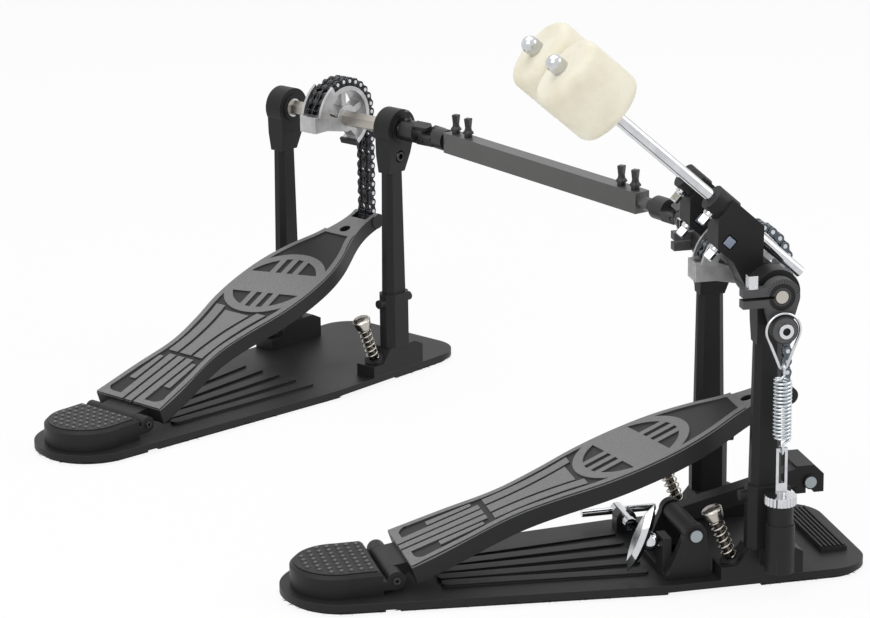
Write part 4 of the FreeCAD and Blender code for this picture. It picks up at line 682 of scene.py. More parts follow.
def joined(name, meshes):
    """One flat-shaded piece out of several meshes."""
    bm = bmesh.new()
    for mesh in meshes:
        bm.from_mesh(mesh)
    for face in bm.faces:
        face.smooth = False
        face.material_index = 0
    return new_piece(name, mesh_of(name, bm))


def stood(tree, pattern, spots, side, size, material):
    """Mesh of a pattern that stands on spots, each a place and a way."""
    model = new_piece("pattern", pattern)
    piece = ways_piece("spots", spots)
    mesh = grown(piece, tree, {"Pattern": model, "Side": side, "Size": size}, material).data
    bpy.data.objects.remove(piece)
    bpy.data.objects.remove(model)
    return mesh


def ease(value):
    value = min(max(value, 0.0), 1.0)
    return value * value * (3 - 2 * value)


def arc_points(centre, first, second, start, end, count):
    """Points on a circle from two radius vectors, between two angles in degrees."""
    points = []
    for i in range(count + 1):
        angle = math.radians(start + (end - start) * i / count)
        points.append(centre + first * math.cos(angle) + second * math.sin(angle))
    return points


def hide_behind(piece, material, body, slot, *replaced):
    """Give a piece its material and body, and let it stand for CAD nodes; its slot is not used."""
    if material and not piece.data.materials:
        piece.data.materials.append(material)
    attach(piece, body)
    if replaced:
        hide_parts(*replaced)


def dress(node, material):
    node = nodes[node]
    node.data.materials.clear()
    node.data.materials.append(material)


# Properties


def colour_prop(label, text, default):
    return bpy.props.FloatVectorProperty(
        name=label, description=text, subtype="COLOR", size=3, min=0.0, max=1.0, default=default,
    )


def length_prop(label, text, default):
    return bpy.props.FloatProperty(name=label, description=text, unit="LENGTH", precision=5, default=default)


def count_prop(label, text, default):
    return bpy.props.IntProperty(name=label, description=text, default=default)


def angle_prop(label, text, degrees):
    turn = math.radians(degrees)
    return bpy.props.FloatProperty(name=label, description=text, subtype="ANGLE", default=turn)


class PedalFinishes(bpy.types.PropertyGroup):
    coat_colour: colour_prop("Coat", "Satin black of the castings", (0.0125, 0.0125, 0.013))
    board_body_colour: colour_prop("Board body", "Dark casting of the footboards", (0.016, 0.016, 0.0165))
    board_top_colour: colour_prop("Board pattern", "Grey of the raised pattern", (0.205, 0.205, 0.207))
    cast_colour: colour_prop("Cast silver", "Bare casting of the cams", (0.58, 0.58, 0.59))
    nickel_colour: colour_prop("Nickel", "Satin plating of axles and spurs", (0.52, 0.49, 0.44))
    chrome_colour: colour_prop("Chrome", "Polished plating", (0.64, 0.65, 0.67))
    zinc_colour: colour_prop("Zinc", "Bright plating of the springs", (0.62, 0.66, 0.69))
    rocker_colour: colour_prop("Rocker", "Dark grey of the spring rockers", (0.075, 0.075, 0.078))
    bar_colour: colour_prop("Drive bar", "Blackened steel of the drive bar", (0.115, 0.115, 0.113))
    main_chain_colour: colour_prop("Main chain", "Blued plates of the main chain", (0.13, 0.155, 0.18))
    slave_chain_colour: colour_prop("Slave chain", "Black plates of the slave chain", (0.02, 0.02, 0.024))
    chain_pin_colour: colour_prop("Chain pins", "Bright ends of the pins", (0.6, 0.62, 0.65))
    rubber_colour: colour_prop("Rubber", "Floor strips and hoop pad", (0.012, 0.012, 0.012))
    felt_colour: colour_prop("Felt", "Wool of the beaters", (0.88, 0.84, 0.69))


class PedalSizes(bpy.types.PropertyGroup):
    spring_wire: length_prop("Spring wire", "Radius of the spring's wire", 0.85 * MM)
    spring_radius: length_prop("Spring radius", "Radius of the coil's middle line", 5.6 * MM)
    spring_turns: count_prop("Spring turns", "Turns of each spring", 17)
    spur_wire: length_prop("Spur wire", "Radius of the spur coil's wire", 0.6 * MM)
    spur_turns: count_prop("Spur turns", "Turns of each spur coil", 6)
    felt_radius: length_prop("Felt radius", "Radius of a beater's felt", 26.5 * MM)
    felt_length: length_prop("Felt length", "Length of a beater's felt", 46 * MM)
    bristle_length: length_prop("Bristle", "Length of the floor strip's hooks", 5.4 * MM)
    bristle_density: bpy.props.FloatProperty(
        name="Bristle density", description="Hooks on each square metre of the strips' sides", default=500000,
    )


class PedalStage(bpy.types.PropertyGroup):
    lens: bpy.props.FloatProperty(name="Lens", description="Focal length in millimetres", default=138.11)
    camera_place: bpy.props.FloatVectorProperty(
        name="Camera", description="Where the camera stands", subtype="TRANSLATION", unit="LENGTH",
        default=(2.06252, -0.71382, 0.83095),
    )
    camera_yaw: angle_prop("Yaw", "Turn of the camera", 76.4176)
    camera_pitch: angle_prop("Pitch", "Downward tilt of the camera", 16.6928)
    camera_roll: angle_prop("Roll", "Roll of the camera", -0.7758)
    floor_colour: colour_prop("Floor", "Pale floor", (0.95, 0.95, 0.95))


# Operators


class PedalPiece(bpy.types.Operator):
    """Base of the pedal's operators"""

    bl_options = {"REGISTER", "UNDO"}

    def execute(self, context):
        scene = context.scene
        self.make(scene.pedal_finishes, scene.pedal_sizes)
        return {"FINISHED"}


class PEDAL_OT_castings(PedalPiece):
    """Finish the plates, posts, hubs, rockers and hoop clamp"""

    bl_idname = "pedal.castings"
    bl_label = "Castings"

    def make(self, look, size):
        coat = coat_finish(look)
        for pedal in PEDALS:
            for piece in ("base_plate", "post_right", "post_left"):
                dress(pedal + "_" + piece, coat)
            dress(pedal + "_heel_plate", heel_finish(look, pedal))
            dress(pedal + "_footboard", board_finish(look, pedal, "_board", -0.75 * MM, -0.35 * MM))
        for name, x in BEATERS:
            dress(name + "_hub", hub_finish(look, name, x))
        for side, sign in SIDES:
            dress(side + "_rocker", rocker_finish(look, side))
        rivet = (Vector((0, -51, 38)) * MM, 5.1 * MM, 56.93 * MM)
        dress("hoop_bracket", clamp_finish(look, "bracket_coat", rivet))
        jaw = (Vector((0, 44, 54)) * MM, 5.05 * MM, 18.02 * MM)
        dress("hoop_lever", clamp_finish(look, "lever_coat", jaw))


class PEDAL_OT_metal(PedalPiece):
    """Finish the axles, cams, drive bar and bright metal pieces"""

    bl_idname = "pedal.metal"
    bl_label = "Metal pieces"

    def make(self, look, size):
        chrome = chrome_finish(look, "chrome")
        nickel = metal_finish("satin_nickel", look.nickel_colour, 0.24, 0.25, 0.14, 0.4 * MM)
        cast = cast_finish(look)
        bar = bar_finish(look)
        for name, x in BEATERS:
            dress(name + "_beater_shaft", chrome)
        for side, sign in SIDES:
            dress(side + "_stirrup", chrome)
            dress(side + "_tension_nut", chrome)
        for piece in ("wing_screw", "drum_key", "spring_rods"):
            dress(piece, chrome)
        dress("main_axle", axle_finish(look))
        dress("axle_spigot", nickel)
        for pedal in PEDALS:
            dress(pedal + "_bearings", bearing_finish(look, pedal))
            dress(pedal + "_cam", cast)
            dress(pedal + "_cross", bar)
        for piece in ("linkage_tube", "linkage_rod"):
            dress(piece, bar)
        turn = SLAVE_TURN.to_3x3()
        dress("slave_axle", yoke_finish(look, "slave_axle_steel", SLAVE_PLACE, turn @ X_WAY, 69 * MM))
        dress("second_sleeve", yoke_finish(look, "sleeve_steel", Vector(), -X_WAY, 69 * MM))


class PEDAL_OT_rubber(PedalPiece):
    """Finish the floor strips, hoop pad and key clip, and set bristles on the strips"""

    bl_idname = "pedal.rubber"
    bl_label = "Rubber and floor grip"

    def make(self, look, size):
        rubber = matt_finish("rubber", look.rubber_colour, 0.62, 900)
        plastic = matt_finish("black_plastic", rgb(look.rubber_colour, 1.6)[:3], 0.4, 1400)
        dress("hoop_pad", rubber)
        dress("key_clip", plastic)
        tree = bristle_tree()
        for pedal in PEDALS:
            dress(pedal + "_floor_pads", rubber)
            strip = bmesh.new()
            strip.from_mesh(nodes[pedal + "_floor_pads"].data)
            bmesh.ops.remove_doubles(strip, verts=strip.verts, dist=0.001 * MM)
            mesh = bpy.data.meshes.new(pedal + "_bristles")
            strip.to_mesh(mesh)
            strip.free()
            piece = new_piece(pedal + "_bristles", mesh)
            values = {
                "Density": size.bristle_density, "Length": size.bristle_length, "Thickness": 0.4 * MM,
                "Low Edge": 1.0 * MM, "Seed": 7,
            }
            grown(piece, tree, values, rubber)
            hide_behind(piece, rubber, pedal + "_frame", "rubber")


class PEDAL_OT_springs(PedalPiece):
    """Wind the two return springs"""

    bl_idname = "pedal.springs"
    bl_label = "Return springs"

    low = 102.7 * MM
    high = 159.1 * MM
    hook = 3.02 * MM
    leg = 4 * MM
    bend = 2.6 * MM
    hook_steps = 16
    turn_steps = 30

    def coil_point(self, size, turn):
        turns = size.spring_turns
        inward = max(1 - ease(turn), ease(turn - turns + 1))
        radius = size.spring_radius + (self.hook - size.spring_radius) * inward
        shift = self.bend * ((1 - ease(turn)) - ease(turn - turns + 1))
        angle = 2 * math.pi * turn
        start = self.low + self.leg + self.bend
        rise = self.high - self.leg - self.bend - start
        spot = (radius * math.cos(angle), shift + radius * math.sin(angle), start + rise * turn / turns)
        return Vector(spot)

    def path(self, size):
        """Points of one wire: lower hook, narrowing coil, upper hook."""
        hook = X_WAY * self.hook
        up = Z_WAY * self.hook
        lower = Z_WAY * self.low
        upper = Z_WAY * self.high
        points = [lower - hook + Z_WAY * 2 * size.spring_wire]
        points += arc_points(lower, hook, up, -180, 0, self.hook_steps)
        points.append(lower + hook + Z_WAY * self.leg)
        for i in range(self.turn_steps * size.spring_turns + 1):
            points.append(self.coil_point(size, i / self.turn_steps))
        points.append(upper + hook - Z_WAY * self.leg)
        points += arc_points(upper, hook, up, 0, 180, self.hook_steps)
        points.append(upper - hook - Z_WAY * 2 * size.spring_wire)
        return points

    def make(self, look, size):
        zinc = metal_finish("bright_zinc", look.zinc_colour, 0.2, 0.15, 0.08, 0.0)
        tree = wire_tree()
        points = self.path(size)
        for side, sign in SIDES:
            placed = [Vector((sign * (SPRING_X + point.x), point.y, point.z)) for point in points]
            piece = path_piece(side + "_wound_spring", placed)
            grown(piece, tree, {"Wire Radius": size.spring_wire, "Sides": 10}, zinc)
            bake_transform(piece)
            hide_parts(side + "_spring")


class PEDAL_OT_spurs(PedalPiece):
    """Turn the spur bolts and wind their coils"""

    bl_idname = "pedal.spurs"
    bl_label = "Spurs"

    tilt = math.radians(21)
    across = 58 * MM
    back = 22 * MM
    boss_top = 14 * MM
    coil_height = 30 * MM
    head_height = 8 * MM
    head_radius = 7.2 * MM
    shank_radius = 3.1 * MM
    coil_radius = 4.7 * MM
    coil_gap = 0.4 * MM
    turn_steps = 28
    point_depth = 7 * MM
    point_length = 6 * MM

    def bolt(self):
        """Pointed bolt with a tapered head."""
        reach = self.point_depth / math.cos(self.tilt)
        low = self.boss_top + self.coil_height
        high = low + self.head_height
        head, shank = self.head_radius, self.shank_radius
        profile = [
            (0.2 * MM, -reach), (shank, self.point_length - reach), (shank, low - self.coil_gap),
            (0.6 * head, low), (0.8 * head, low), (0.85 * head, low + 0.5 * MM),
            (0.985 * head, high - 1.2 * MM), (head, high - 0.6 * MM), (0.93 * head, high), (0.3 * head, high),
        ]
        return lathe("spur_bolt", profile, 48)

    def coil(self, size):
        start = self.boss_top + self.coil_gap + size.spur_wire
        rise = self.coil_height - 2 * self.coil_gap - 2 * size.spur_wire
        points = []
        for i in range(self.turn_steps * size.spur_turns + 1):
            turn = i / self.turn_steps
            height = start + rise * turn / size.spur_turns
            angle = 2 * math.pi * turn
            across, along = self.coil_radius * math.cos(angle), self.coil_radius * math.sin(angle)
            points.append(Vector((across, along, height)))
        return points

    def make(self, look, size):
        nickel = metal_finish("spur_nickel", look.nickel_colour, 0.2, 0.2, 0.12, 0.0)
        tree = wire_tree()
        for pedal, pose in PEDALS.items():
            for side, sign in SIDES:
                name = pedal + "_spur_" + side
                foot = Vector((sign * self.across, -self.back, PLATE_TOP))
                stand = pose @ Matrix.Translation(foot) @ Matrix.Rotation(self.tilt, 4, "X")
                mesh = self.bolt()
                mesh.transform(stand)
                bolt = new_piece(name + "_bolt", mesh)
                hide_behind(bolt, nickel, name, "axle_steel", name)
                coil = path_piece(name + "_coil", [stand @ point for point in self.coil(size)])
                grown(coil, tree, {"Wire Radius": size.spur_wire, "Sides": 8}, nickel)
                hide_behind(coil, nickel, name, "axle_steel")


class PEDAL_OT_felts(PedalPiece):
    """Turn the two felts with round edges and a matted surface"""

    bl_idname = "pedal.felts"
    bl_label = "Beater felts"

    low = 157 * MM
    edge = 6.5 * MM
    bore = 4.05 * MM
    sides = 120
    matting = 0.28 * MM

    def profile(self, size):
        """Half outline of the barrel, from its bore at the low end to its bore at the high end."""
        radius = size.felt_radius
        high = self.low + size.felt_length
        faces = [self.bore + i / 5 * (radius - self.edge - self.bore) for i in range(5)]
        pairs = [(reach, self.low) for reach in faces]
        for i in range(9):
            angle = math.radians(-90 + 90 * i / 8)
            reach = radius - self.edge * (1 - math.cos(angle))
            pairs.append((reach, self.low + self.edge * (1 + math.sin(angle))))
        for i in range(1, 10):
            pairs.append((radius, self.low + self.edge + i / 10 * (size.felt_length - 2 * self.edge)))
        for i in range(9):
            angle = math.radians(90 * i / 8)
            reach = radius - self.edge * (1 - math.cos(angle))
            pairs.append((reach, high - self.edge * (1 - math.sin(angle))))
        return pairs + [(reach, high) for reach in reversed(faces)]

    def make(self, look, size):
        felt = felt_finish(look)
        for name, x in BEATERS:
            mesh = lathe(name + "_wool_felt", self.profile(size), self.sides, self.matting)
            mesh.transform(BEATER_POSE @ Matrix.Translation((x, BEATER_OFFSET, 0)))
            piece = new_piece(name + "_wool_felt", mesh)
            hide_behind(piece, felt, name + "_beater", "felt", name + "_beater_felt")


class PEDAL_OT_chains(PedalPiece):
    """Lay the double-strand chains link by link"""

    bl_idname = "pedal.chains"
    bl_label = "Chains"

    radius = 30 * MM
    pitch = 7 * MM
    drop_pitch = 91.52 / 12 * MM
    drop_links = 12
    free_links = 3
    wrap_links = 9
    end_radius = 3.2 * MM
    waist = 2.1 * MM
    plate = 1.15 * MM
    outer = 7.15 * MM
    middle = 0.6 * MM
    pin_radius = 1.5 * MM
    pin_proud = 0.5 * MM
    roller_radius = 2.3 * MM
    eye_radius = 3.6 * MM
    eye_rim = 4.7 * MM
    strand_gap = 0.15 * MM
    eye_gap = 0.3 * MM
    end_steps = 8
    pin_sides = 12
    roller_sides = 14
    eye_sides = 20

    def waisted(self, pitch):
        """Outline of a plate with round ends and a narrow waist, its length along Z."""
        half = pitch / 2
        pairs = []
        for sign in (1, -1):
            for i in range(self.end_steps + 1):
                angle = math.radians(-10 + 200 * i / self.end_steps)
                y = sign * self.end_radius * math.cos(angle)
                pairs.append((y, sign * (half + self.end_radius * math.sin(angle))))
            pairs.append((-sign * self.waist, 0.0))
        return pairs

    def disc(self, radius, z, sides):
        angles = [2 * math.pi * i / sides for i in range(sides)]
        return [(radius * math.cos(angle), z + radius * math.sin(angle)) for angle in angles]

    def link(self, pitch, wide):
        """One link: outer plates and a middle plate with its pins, or two inner strands with rollers."""
        bm = bmesh.new()
        outline = self.waisted(pitch)
        ends = (-pitch / 2, pitch / 2)
        if wide:
            levels = [(self.outer - self.plate, self.outer), (-self.middle, self.middle)]
            levels.append((-self.outer, self.plate - self.outer))
            reach = self.outer + self.pin_proud
            for z in ends:
                prism(bm, self.disc(self.pin_radius, z, self.pin_sides), -reach, reach)
        else:
            near = self.middle + self.strand_gap
            far = self.outer - self.plate - self.strand_gap
            levels = []
            for sign in (1, -1):
                levels.append(sorted((sign * near, sign * (near + self.plate))))
                levels.append(sorted((sign * (far - self.plate), sign * far)))
                for z in ends:
                    span = sorted((sign * (near + self.plate), sign * (far - self.plate)))
                    prism(bm, self.disc(self.roller_radius, z, self.roller_sides), *span)
        for low, high in levels:
            prism(bm, outline, low, high)
        return mesh_of("link_pattern", bm)

    def eye(self):
        """Last link of the hanging run, whose open eyes hang round the toe pin at the origin."""
        bm = bmesh.new()
        for sign in (1, -1):
            low, high = sorted((sign * (self.middle + self.eye_gap), sign * (self.outer - self.eye_gap)))
            rings = []
            for x in (low, high):
                for radius in (self.eye_radius, self.eye_rim):
                    outline = self.disc(radius, 0.0, self.eye_sides)
                    rings.append([bm.verts.new((x, y, z)) for y, z in outline])
            for first, second in ((0, 1), (1, 3), (3, 2), (2, 0)):
                skin(bm, rings[first], rings[second])
            half = self.waist
            foot = self.eye_radius + 0.4 * MM
            arm = [(-half, foot), (half, foot), (half, self.drop_pitch), (-half, self.drop_pitch)]
            prism(bm, arm, low, high)
        return mesh_of("eye_pattern", bm)

    def pins_on_cam(self, first, last):
        step = 2 * math.asin(self.pitch / 2 / self.radius)
        angles = [i * step for i in range(first, last + 1)]
        return [AXLE_POINT + Vector((0, math.cos(angle), math.sin(angle))) * self.radius for angle in angles]

    def run(self, pedal, pins, wide_first, material):
        """Meshes of a run of links between pins, wide and narrow by turns."""
        pose = PEDALS[pedal]
        turn = pose.to_3x3()
        meshes = []
        for offset in (0, 1):
            spots = []
            for start, end in list(zip(pins, pins[1:]))[offset::2]:
                spots.append((pose @ ((start + end) / 2), turn @ (end - start).normalized()))
            pattern = self.link((pins[1] - pins[0]).length, wide_first == (offset == 0))
            meshes.append(stood(self.tree, pattern, spots, turn @ X_WAY, 1.0, material))
        return meshes

    def make(self, look, size):
        self.tree = stand_tree()
        top = AXLE_POINT + Y_WAY * self.radius
        free = self.free_links
        hanging = [top - Z_WAY * (i * self.drop_pitch) for i in range(self.drop_links)]
        for pedal, colour in (("main", look.main_chain_colour), ("slave", look.slave_chain_colour)):
            finish = chain_finish(look, pedal, colour)
            chain = pedal + "_chain_"
            wrap = self.run(pedal, self.pins_on_cam(free, free + self.wrap_links), True, finish)
            piece = joined(pedal + "_wrap_links", wrap)
            hide_behind(piece, finish, pedal + "_axle", "dark_steel", chain + "wrap")
            loose = self.run(pedal, self.pins_on_cam(0, free), False, finish)
            replaced = [chain + "link_%d" % i for i in range(1, free + 1)]
            piece = joined(pedal + "_loose_links", loose)
            hide_behind(piece, finish, chain + "links", "dark_steel", *replaced)
            tail = self.eye()
            foot = top - Z_WAY * (self.drop_links * self.drop_pitch)
            tail.transform(PEDALS[pedal] @ Matrix.Translation(foot))
            drop = self.run(pedal, hanging, True, finish) + [tail]
            piece = joined(pedal + "_drop_links", drop)
            hide_behind(piece, finish, chain + "drop", "dark_steel", chain + "drop")


class PEDAL_OT_screws(PedalPiece):
    """Stand the screws in the post heads, beater hubs, drive yoke and drive bar"""

    bl_idname = "pedal.screws"
    bl_label = "Screws"

    head_spot = Vector((64.2, -2, 185)) * MM
    hub_spots = ((12.4, 57.4), (-2.8, 37.6))
    yoke_spot = Vector((74 * MM, 0, AXLE_HEIGHT + 7.5 * MM))
    bar_spots = ((-392.04, -101.92), (-187.28, -19.12), (-377.21, -95.92), (-202.11, -25.12))
    bar_top = 215
    head_size = 4.2 * MM
    yoke_size = 3.6 * MM
    sides = 24
    socket = 0.52
    # Foot, its sides and head: a collared screw of unit radius, and a waisted one in millimetres.
    collared = (((1.0, 0.0), (1.0, 0.5), (0.74, 0.8)), 24, ((0.84, 0.7), (0.84, 2.1), (0.7, 2.3)))
    waisted = (
        ((3.2, 0.0), (3.2, 2.6), (4.4, 3.0), (4.2, 4.0), (2.9, 5.6), (2.3, 9.0)), 16,
        ((2.6, 7.5), (3.4, 14.5), (3.0, 15.0)),
    )

    def socket_screw(self):
        """Socket screw of unit radius with a hexagonal recess."""
        bm = bmesh.new()
        outer, rim, hexagon, deep, foot = [], [], [], [], []
        for i in range(self.sides):
            angle = 2 * math.pi * i / self.sides
            way = Vector((math.cos(angle), math.sin(angle), 0))
            inset = self.socket / math.cos((angle + math.pi / 6) % (math.pi / 3) - math.pi / 6)
            foot.append(bm.verts.new(way))
            outer.append(bm.verts.new(way + Z_WAY * 0.85))
            rim.append(bm.verts.new(way * 0.9 + Z_WAY))
            hexagon.append(bm.verts.new(way * inset + Z_WAY))
            deep.append(bm.verts.new(way * inset + Z_WAY * 0.4))
        for low, high in ((foot, outer), (outer, rim), (rim, hexagon), (hexagon, deep)):
            skin(bm, low, high)
        bm.faces.new(deep)
        bm.faces.new(list(reversed(foot)))
        return mesh_of("socket_screw", bm)

    def key_screw(self, foot, sides, head):
        """Square head on a turned foot, each from (radius, height) pairs."""
        bm = bmesh.new()
        bm.from_mesh(lathe("foot", foot, sides))
        bm.from_mesh(lathe("head", head, 4))
        return mesh_of("key_screw", bm)

    def make(self, look, size):
        steel = metal_finish("black_screw", (0.06, 0.06, 0.062), 0.28, 0.3, 0.12, 0.0)
        chrome = chrome_finish(look, "screw_chrome")
        tree = stand_tree()
        for pedal, pose in PEDALS.items():
            spots = []
            for side, sign in SIDES:
                place = Vector((sign * self.head_spot.x, self.head_spot.y, self.head_spot.z))
                spots.append((pose @ place, pose.to_3x3() @ (X_WAY * sign)))
            mesh = stood(tree, self.socket_screw(), spots, Z_WAY, self.head_size, steel)
            hide_behind(joined(pedal + "_head_screws", [mesh]), steel, pedal + "_frame", "dark_steel")
        way = BEATER_POSE.to_3x3() @ -Y_WAY
        for name, x in BEATERS:
            spots = [(BEATER_POSE @ Vector((x, y * MM, z * MM)), way) for y, z in self.hub_spots]
            mesh = stood(tree, self.key_screw(*self.collared), spots, X_WAY, self.head_size, chrome)
            hide_behind(joined(name + "_hub_screws", [mesh]), chrome, name + "_axle", "chrome")
        spots = [(SLAVE_POSE @ self.yoke_spot, Z_WAY)]
        side = SLAVE_TURN.to_3x3() @ X_WAY
        mesh = stood(tree, self.key_screw(*self.collared), spots, side, self.yoke_size, steel)
        hide_behind(joined("yoke_screw", [mesh]), steel, "slave_axle", "dark_steel")
        spots = [(Vector((x, y, self.bar_top)) * MM, Z_WAY) for x, y in self.bar_spots]
        mesh = stood(tree, self.key_screw(*self.waisted), spots, X_WAY, MM, steel)
        hide_behind(joined("bar_screws", [mesh]), steel, "drive_tube", "dark_steel", "linkage_screws")


class PEDAL_OT_cam_pads(PedalPiece):
    """Glue the buffer strips on the ends of the cams' rims"""

    bl_idname = "pedal.cam_pads"
    bl_label = "Cam buffers"

    inner = 22.2 * MM
    outer = 26.8 * MM
    start = math.radians(-61.5)
    end = math.radians(-67.5)
    half_width = 8.7 * MM

    def make(self, look, size):
        rubber = matt_finish("buffer_rubber", look.rubber_colour, 0.5, 900)
        corners = (
            (self.inner, self.start), (self.outer, self.start), (self.outer, self.end), (self.inner, self.end),
        )
        outline = [(r * math.cos(angle), AXLE_HEIGHT + r * math.sin(angle)) for r, angle in corners]
        for pedal, pose in PEDALS.items():
            bm = bmesh.new()
            prism(bm, outline, -self.half_width, self.half_width)
            mesh = mesh_of(pedal + "_cam_buffer", bm)
            mesh.transform(pose)
            hide_behind(new_piece(pedal + "_cam_buffer", mesh), rubber, pedal + "_axle", "rubber")


class PEDAL_OT_board_tops(PedalPiece):
    """Lay the gripping pattern on the footboards' tops"""

    bl_idname = "pedal.board_tops"
    bl_label = "Footboard tops"

    # Distances on the board's plane are in millimetres, across it and along it from the heel end.
    inset = 0.4
    border = 5.2
    start = 0.3
    cross_bar = 5.6
    corner = 8
    corner_end = 13.6
    corner_turns = [math.radians(15 * i) for i in range(6)]
    heel_bars = (3.55, 6.25, 13.2)
    band = (62.2, 66.4)
    finger = (
        (16.6, 25), (22, 25), (22.6, 25.8), (20.4, 57.4), (19.8, 58), (16.6, 58), (16, 57.4), (16, 25.6),
    )
    flare = 100.0
    toe_field = 250.0
    end = 254.0
    ring_middle = 173.0
    ring_outer = 42.0
    ring_inner = 34.5
    ring_tilt = math.radians(10.5)
    ring_band = 14.2
    bar_half = 2.75
    bar_pitch = 10.8
    sheet = (-0.25 * MM, 0.2 * MM)
    top = 1.3 * MM
    step = 0.02 * MM

    def oblong(self, near, far, start, end):
        return [(near, start), (far, start), (far, end), (near, end)]

    def rim(self):
        """Border, heel bars and the block at the toe."""
        middle, inner, outer = self.heel_bars
        shapes = []
        for sign in (1, -1):
            side = board_side(self.inset, self.start, self.toe_field, sign)
            shapes.append(side + board_side(self.border, self.toe_field, self.start, sign))
            edge = board_half(self.cross_bar) - self.border
            corner = [(sign * outer, self.start), (sign * outer, self.cross_bar)]
            for turn in self.corner_turns:
                x = edge - self.corner + self.corner * math.sin(turn)
                corner.append((sign * x, self.corner_end - self.corner * math.cos(turn)))
            shapes.append(corner + board_side(self.border, self.corner_end, self.start, sign))
            shapes.append(self.oblong(sign * inner, sign * outer, self.start, self.band[0]))
        shapes.append(self.oblong(-middle, middle, self.start, self.band[0]))
        left = board_side(self.inset, self.end, self.toe_field, -1)
        shapes.append(board_side(self.inset, self.toe_field, self.end, 1) + left)
        return shapes

    def panels(self):
        """Fingers beside the heel bars, and the three flared panels of the waist."""
        shapes = []
        for sign in (1, -1):
            shapes.append([(sign * x, u) for x, u in self.finger])
            shapes.append(self.flared((9.0, 10.6, 17.8), (18.4, 19.6, 27.2), 132.5, sign))
        shapes.append(self.flared((-6.0, -7.4, -13.2), (6.0, 7.4, 13.2), 127.5, 1))
        return shapes

    def flared(self, inners, outers, end, sign):
        """Panel whose bowed sides pass through offsets at its start, its flare and its end."""
        stations = (self.band[1], self.flare, end)
        sides = []
        for offsets in (inners, outers):
            points = []
            for i in range(11):
                u = stations[0] + (end - stations[0]) * i / 10
                x = 0.0
                for k in range(3):
                    share = offsets[k]
                    for m in range(3):
                        if m != k:
                            share *= (u - stations[m]) / (stations[k] - stations[m])
                    x += share
                points.append((sign * x, u))
            sides.append(points)
        return sides[0] + sides[1][::-1]

    def ring(self):
        """Halves of the round grip's rim, kept within the board."""
        shapes = []
        for first in (0, 180):
            rims = []
            for radius in (self.ring_outer, self.ring_inner):
                points = []
                for i in range(25):
                    angle = math.radians(first + 180 * i / 24)
                    u = self.ring_middle + radius * math.sin(angle)
                    reach = board_half(u) - self.inset - 0.1
                    points.append((max(-reach, min(reach, radius * math.cos(angle))), u))
                rims.append(points)
            shapes.append(rims[0] + rims[1][::-1])
        return shapes

    def askew(self, points):
        """Points about the ring's middle, turned by its tilt."""
        cos, sin = math.cos(self.ring_tilt), math.sin(self.ring_tilt)
        return [(x * cos - v * sin, self.ring_middle + x * sin + v * cos) for x, v in points]

    def grip(self):
        """Plain band across the round grip, and the bars beside it."""
        reach = self.ring_inner + 0.3
        low = math.degrees(math.asin(self.ring_band / reach))
        points = []
        for first in (-low, 180 - low):
            for i in range(9):
                angle = math.radians(first + 2 * low * i / 8)
                points.append((reach * math.cos(angle), reach * math.sin(angle)))
        shapes = [self.askew(points)]
        for side in (1, -1):
            for place in (-1, 0, 1):
                x = place * self.bar_pitch
                far = math.sqrt((reach + 1) ** 2 - x * x)
                corners = self.oblong(x - self.bar_half, x + self.bar_half, self.ring_band - 0.3, far)
                shapes.append(self.askew([(a, side * v) for a, v in corners]))
        return shapes

    def pattern(self):
        """Mesh of the whole pattern, with its level along X and the board's plane along Y and Z."""
        bm = bmesh.new()
        right = board_side(self.inset, self.start, self.end, 1)
        left = board_side(self.inset, self.end, self.start, -1)
        band, *bars = self.grip()
        groups = (
            ([right + left], self.sheet[1]), (self.rim(), self.top), (self.panels(), self.top),
            (self.ring(), self.top + self.step), ([band], self.top - self.step),
            (bars, self.top - 2 * self.step),
        )
        for shapes, high in groups:
            for shape in shapes:
                prism(bm, [(x * MM, u * MM) for x, u in shape], self.sheet[0], high)
        return mesh_of("board_top", bm)

    def make(self, look, size):
        tilt = Matrix.Translation(HEEL_POINT) @ Matrix.Rotation(BOARD_SLOPE, 4, "X")
        for pedal, pose in PEDALS.items():
            mesh = self.pattern()
            mesh.transform(pose @ tilt @ LAY_FLAT)
            material = board_finish(look, pedal, "_board_top", 0.6 * MM, 1.0 * MM)
            piece = new_piece(pedal + "_board_top", mesh)
            hide_behind(piece, material, pedal + "_footboard", "board_grey")


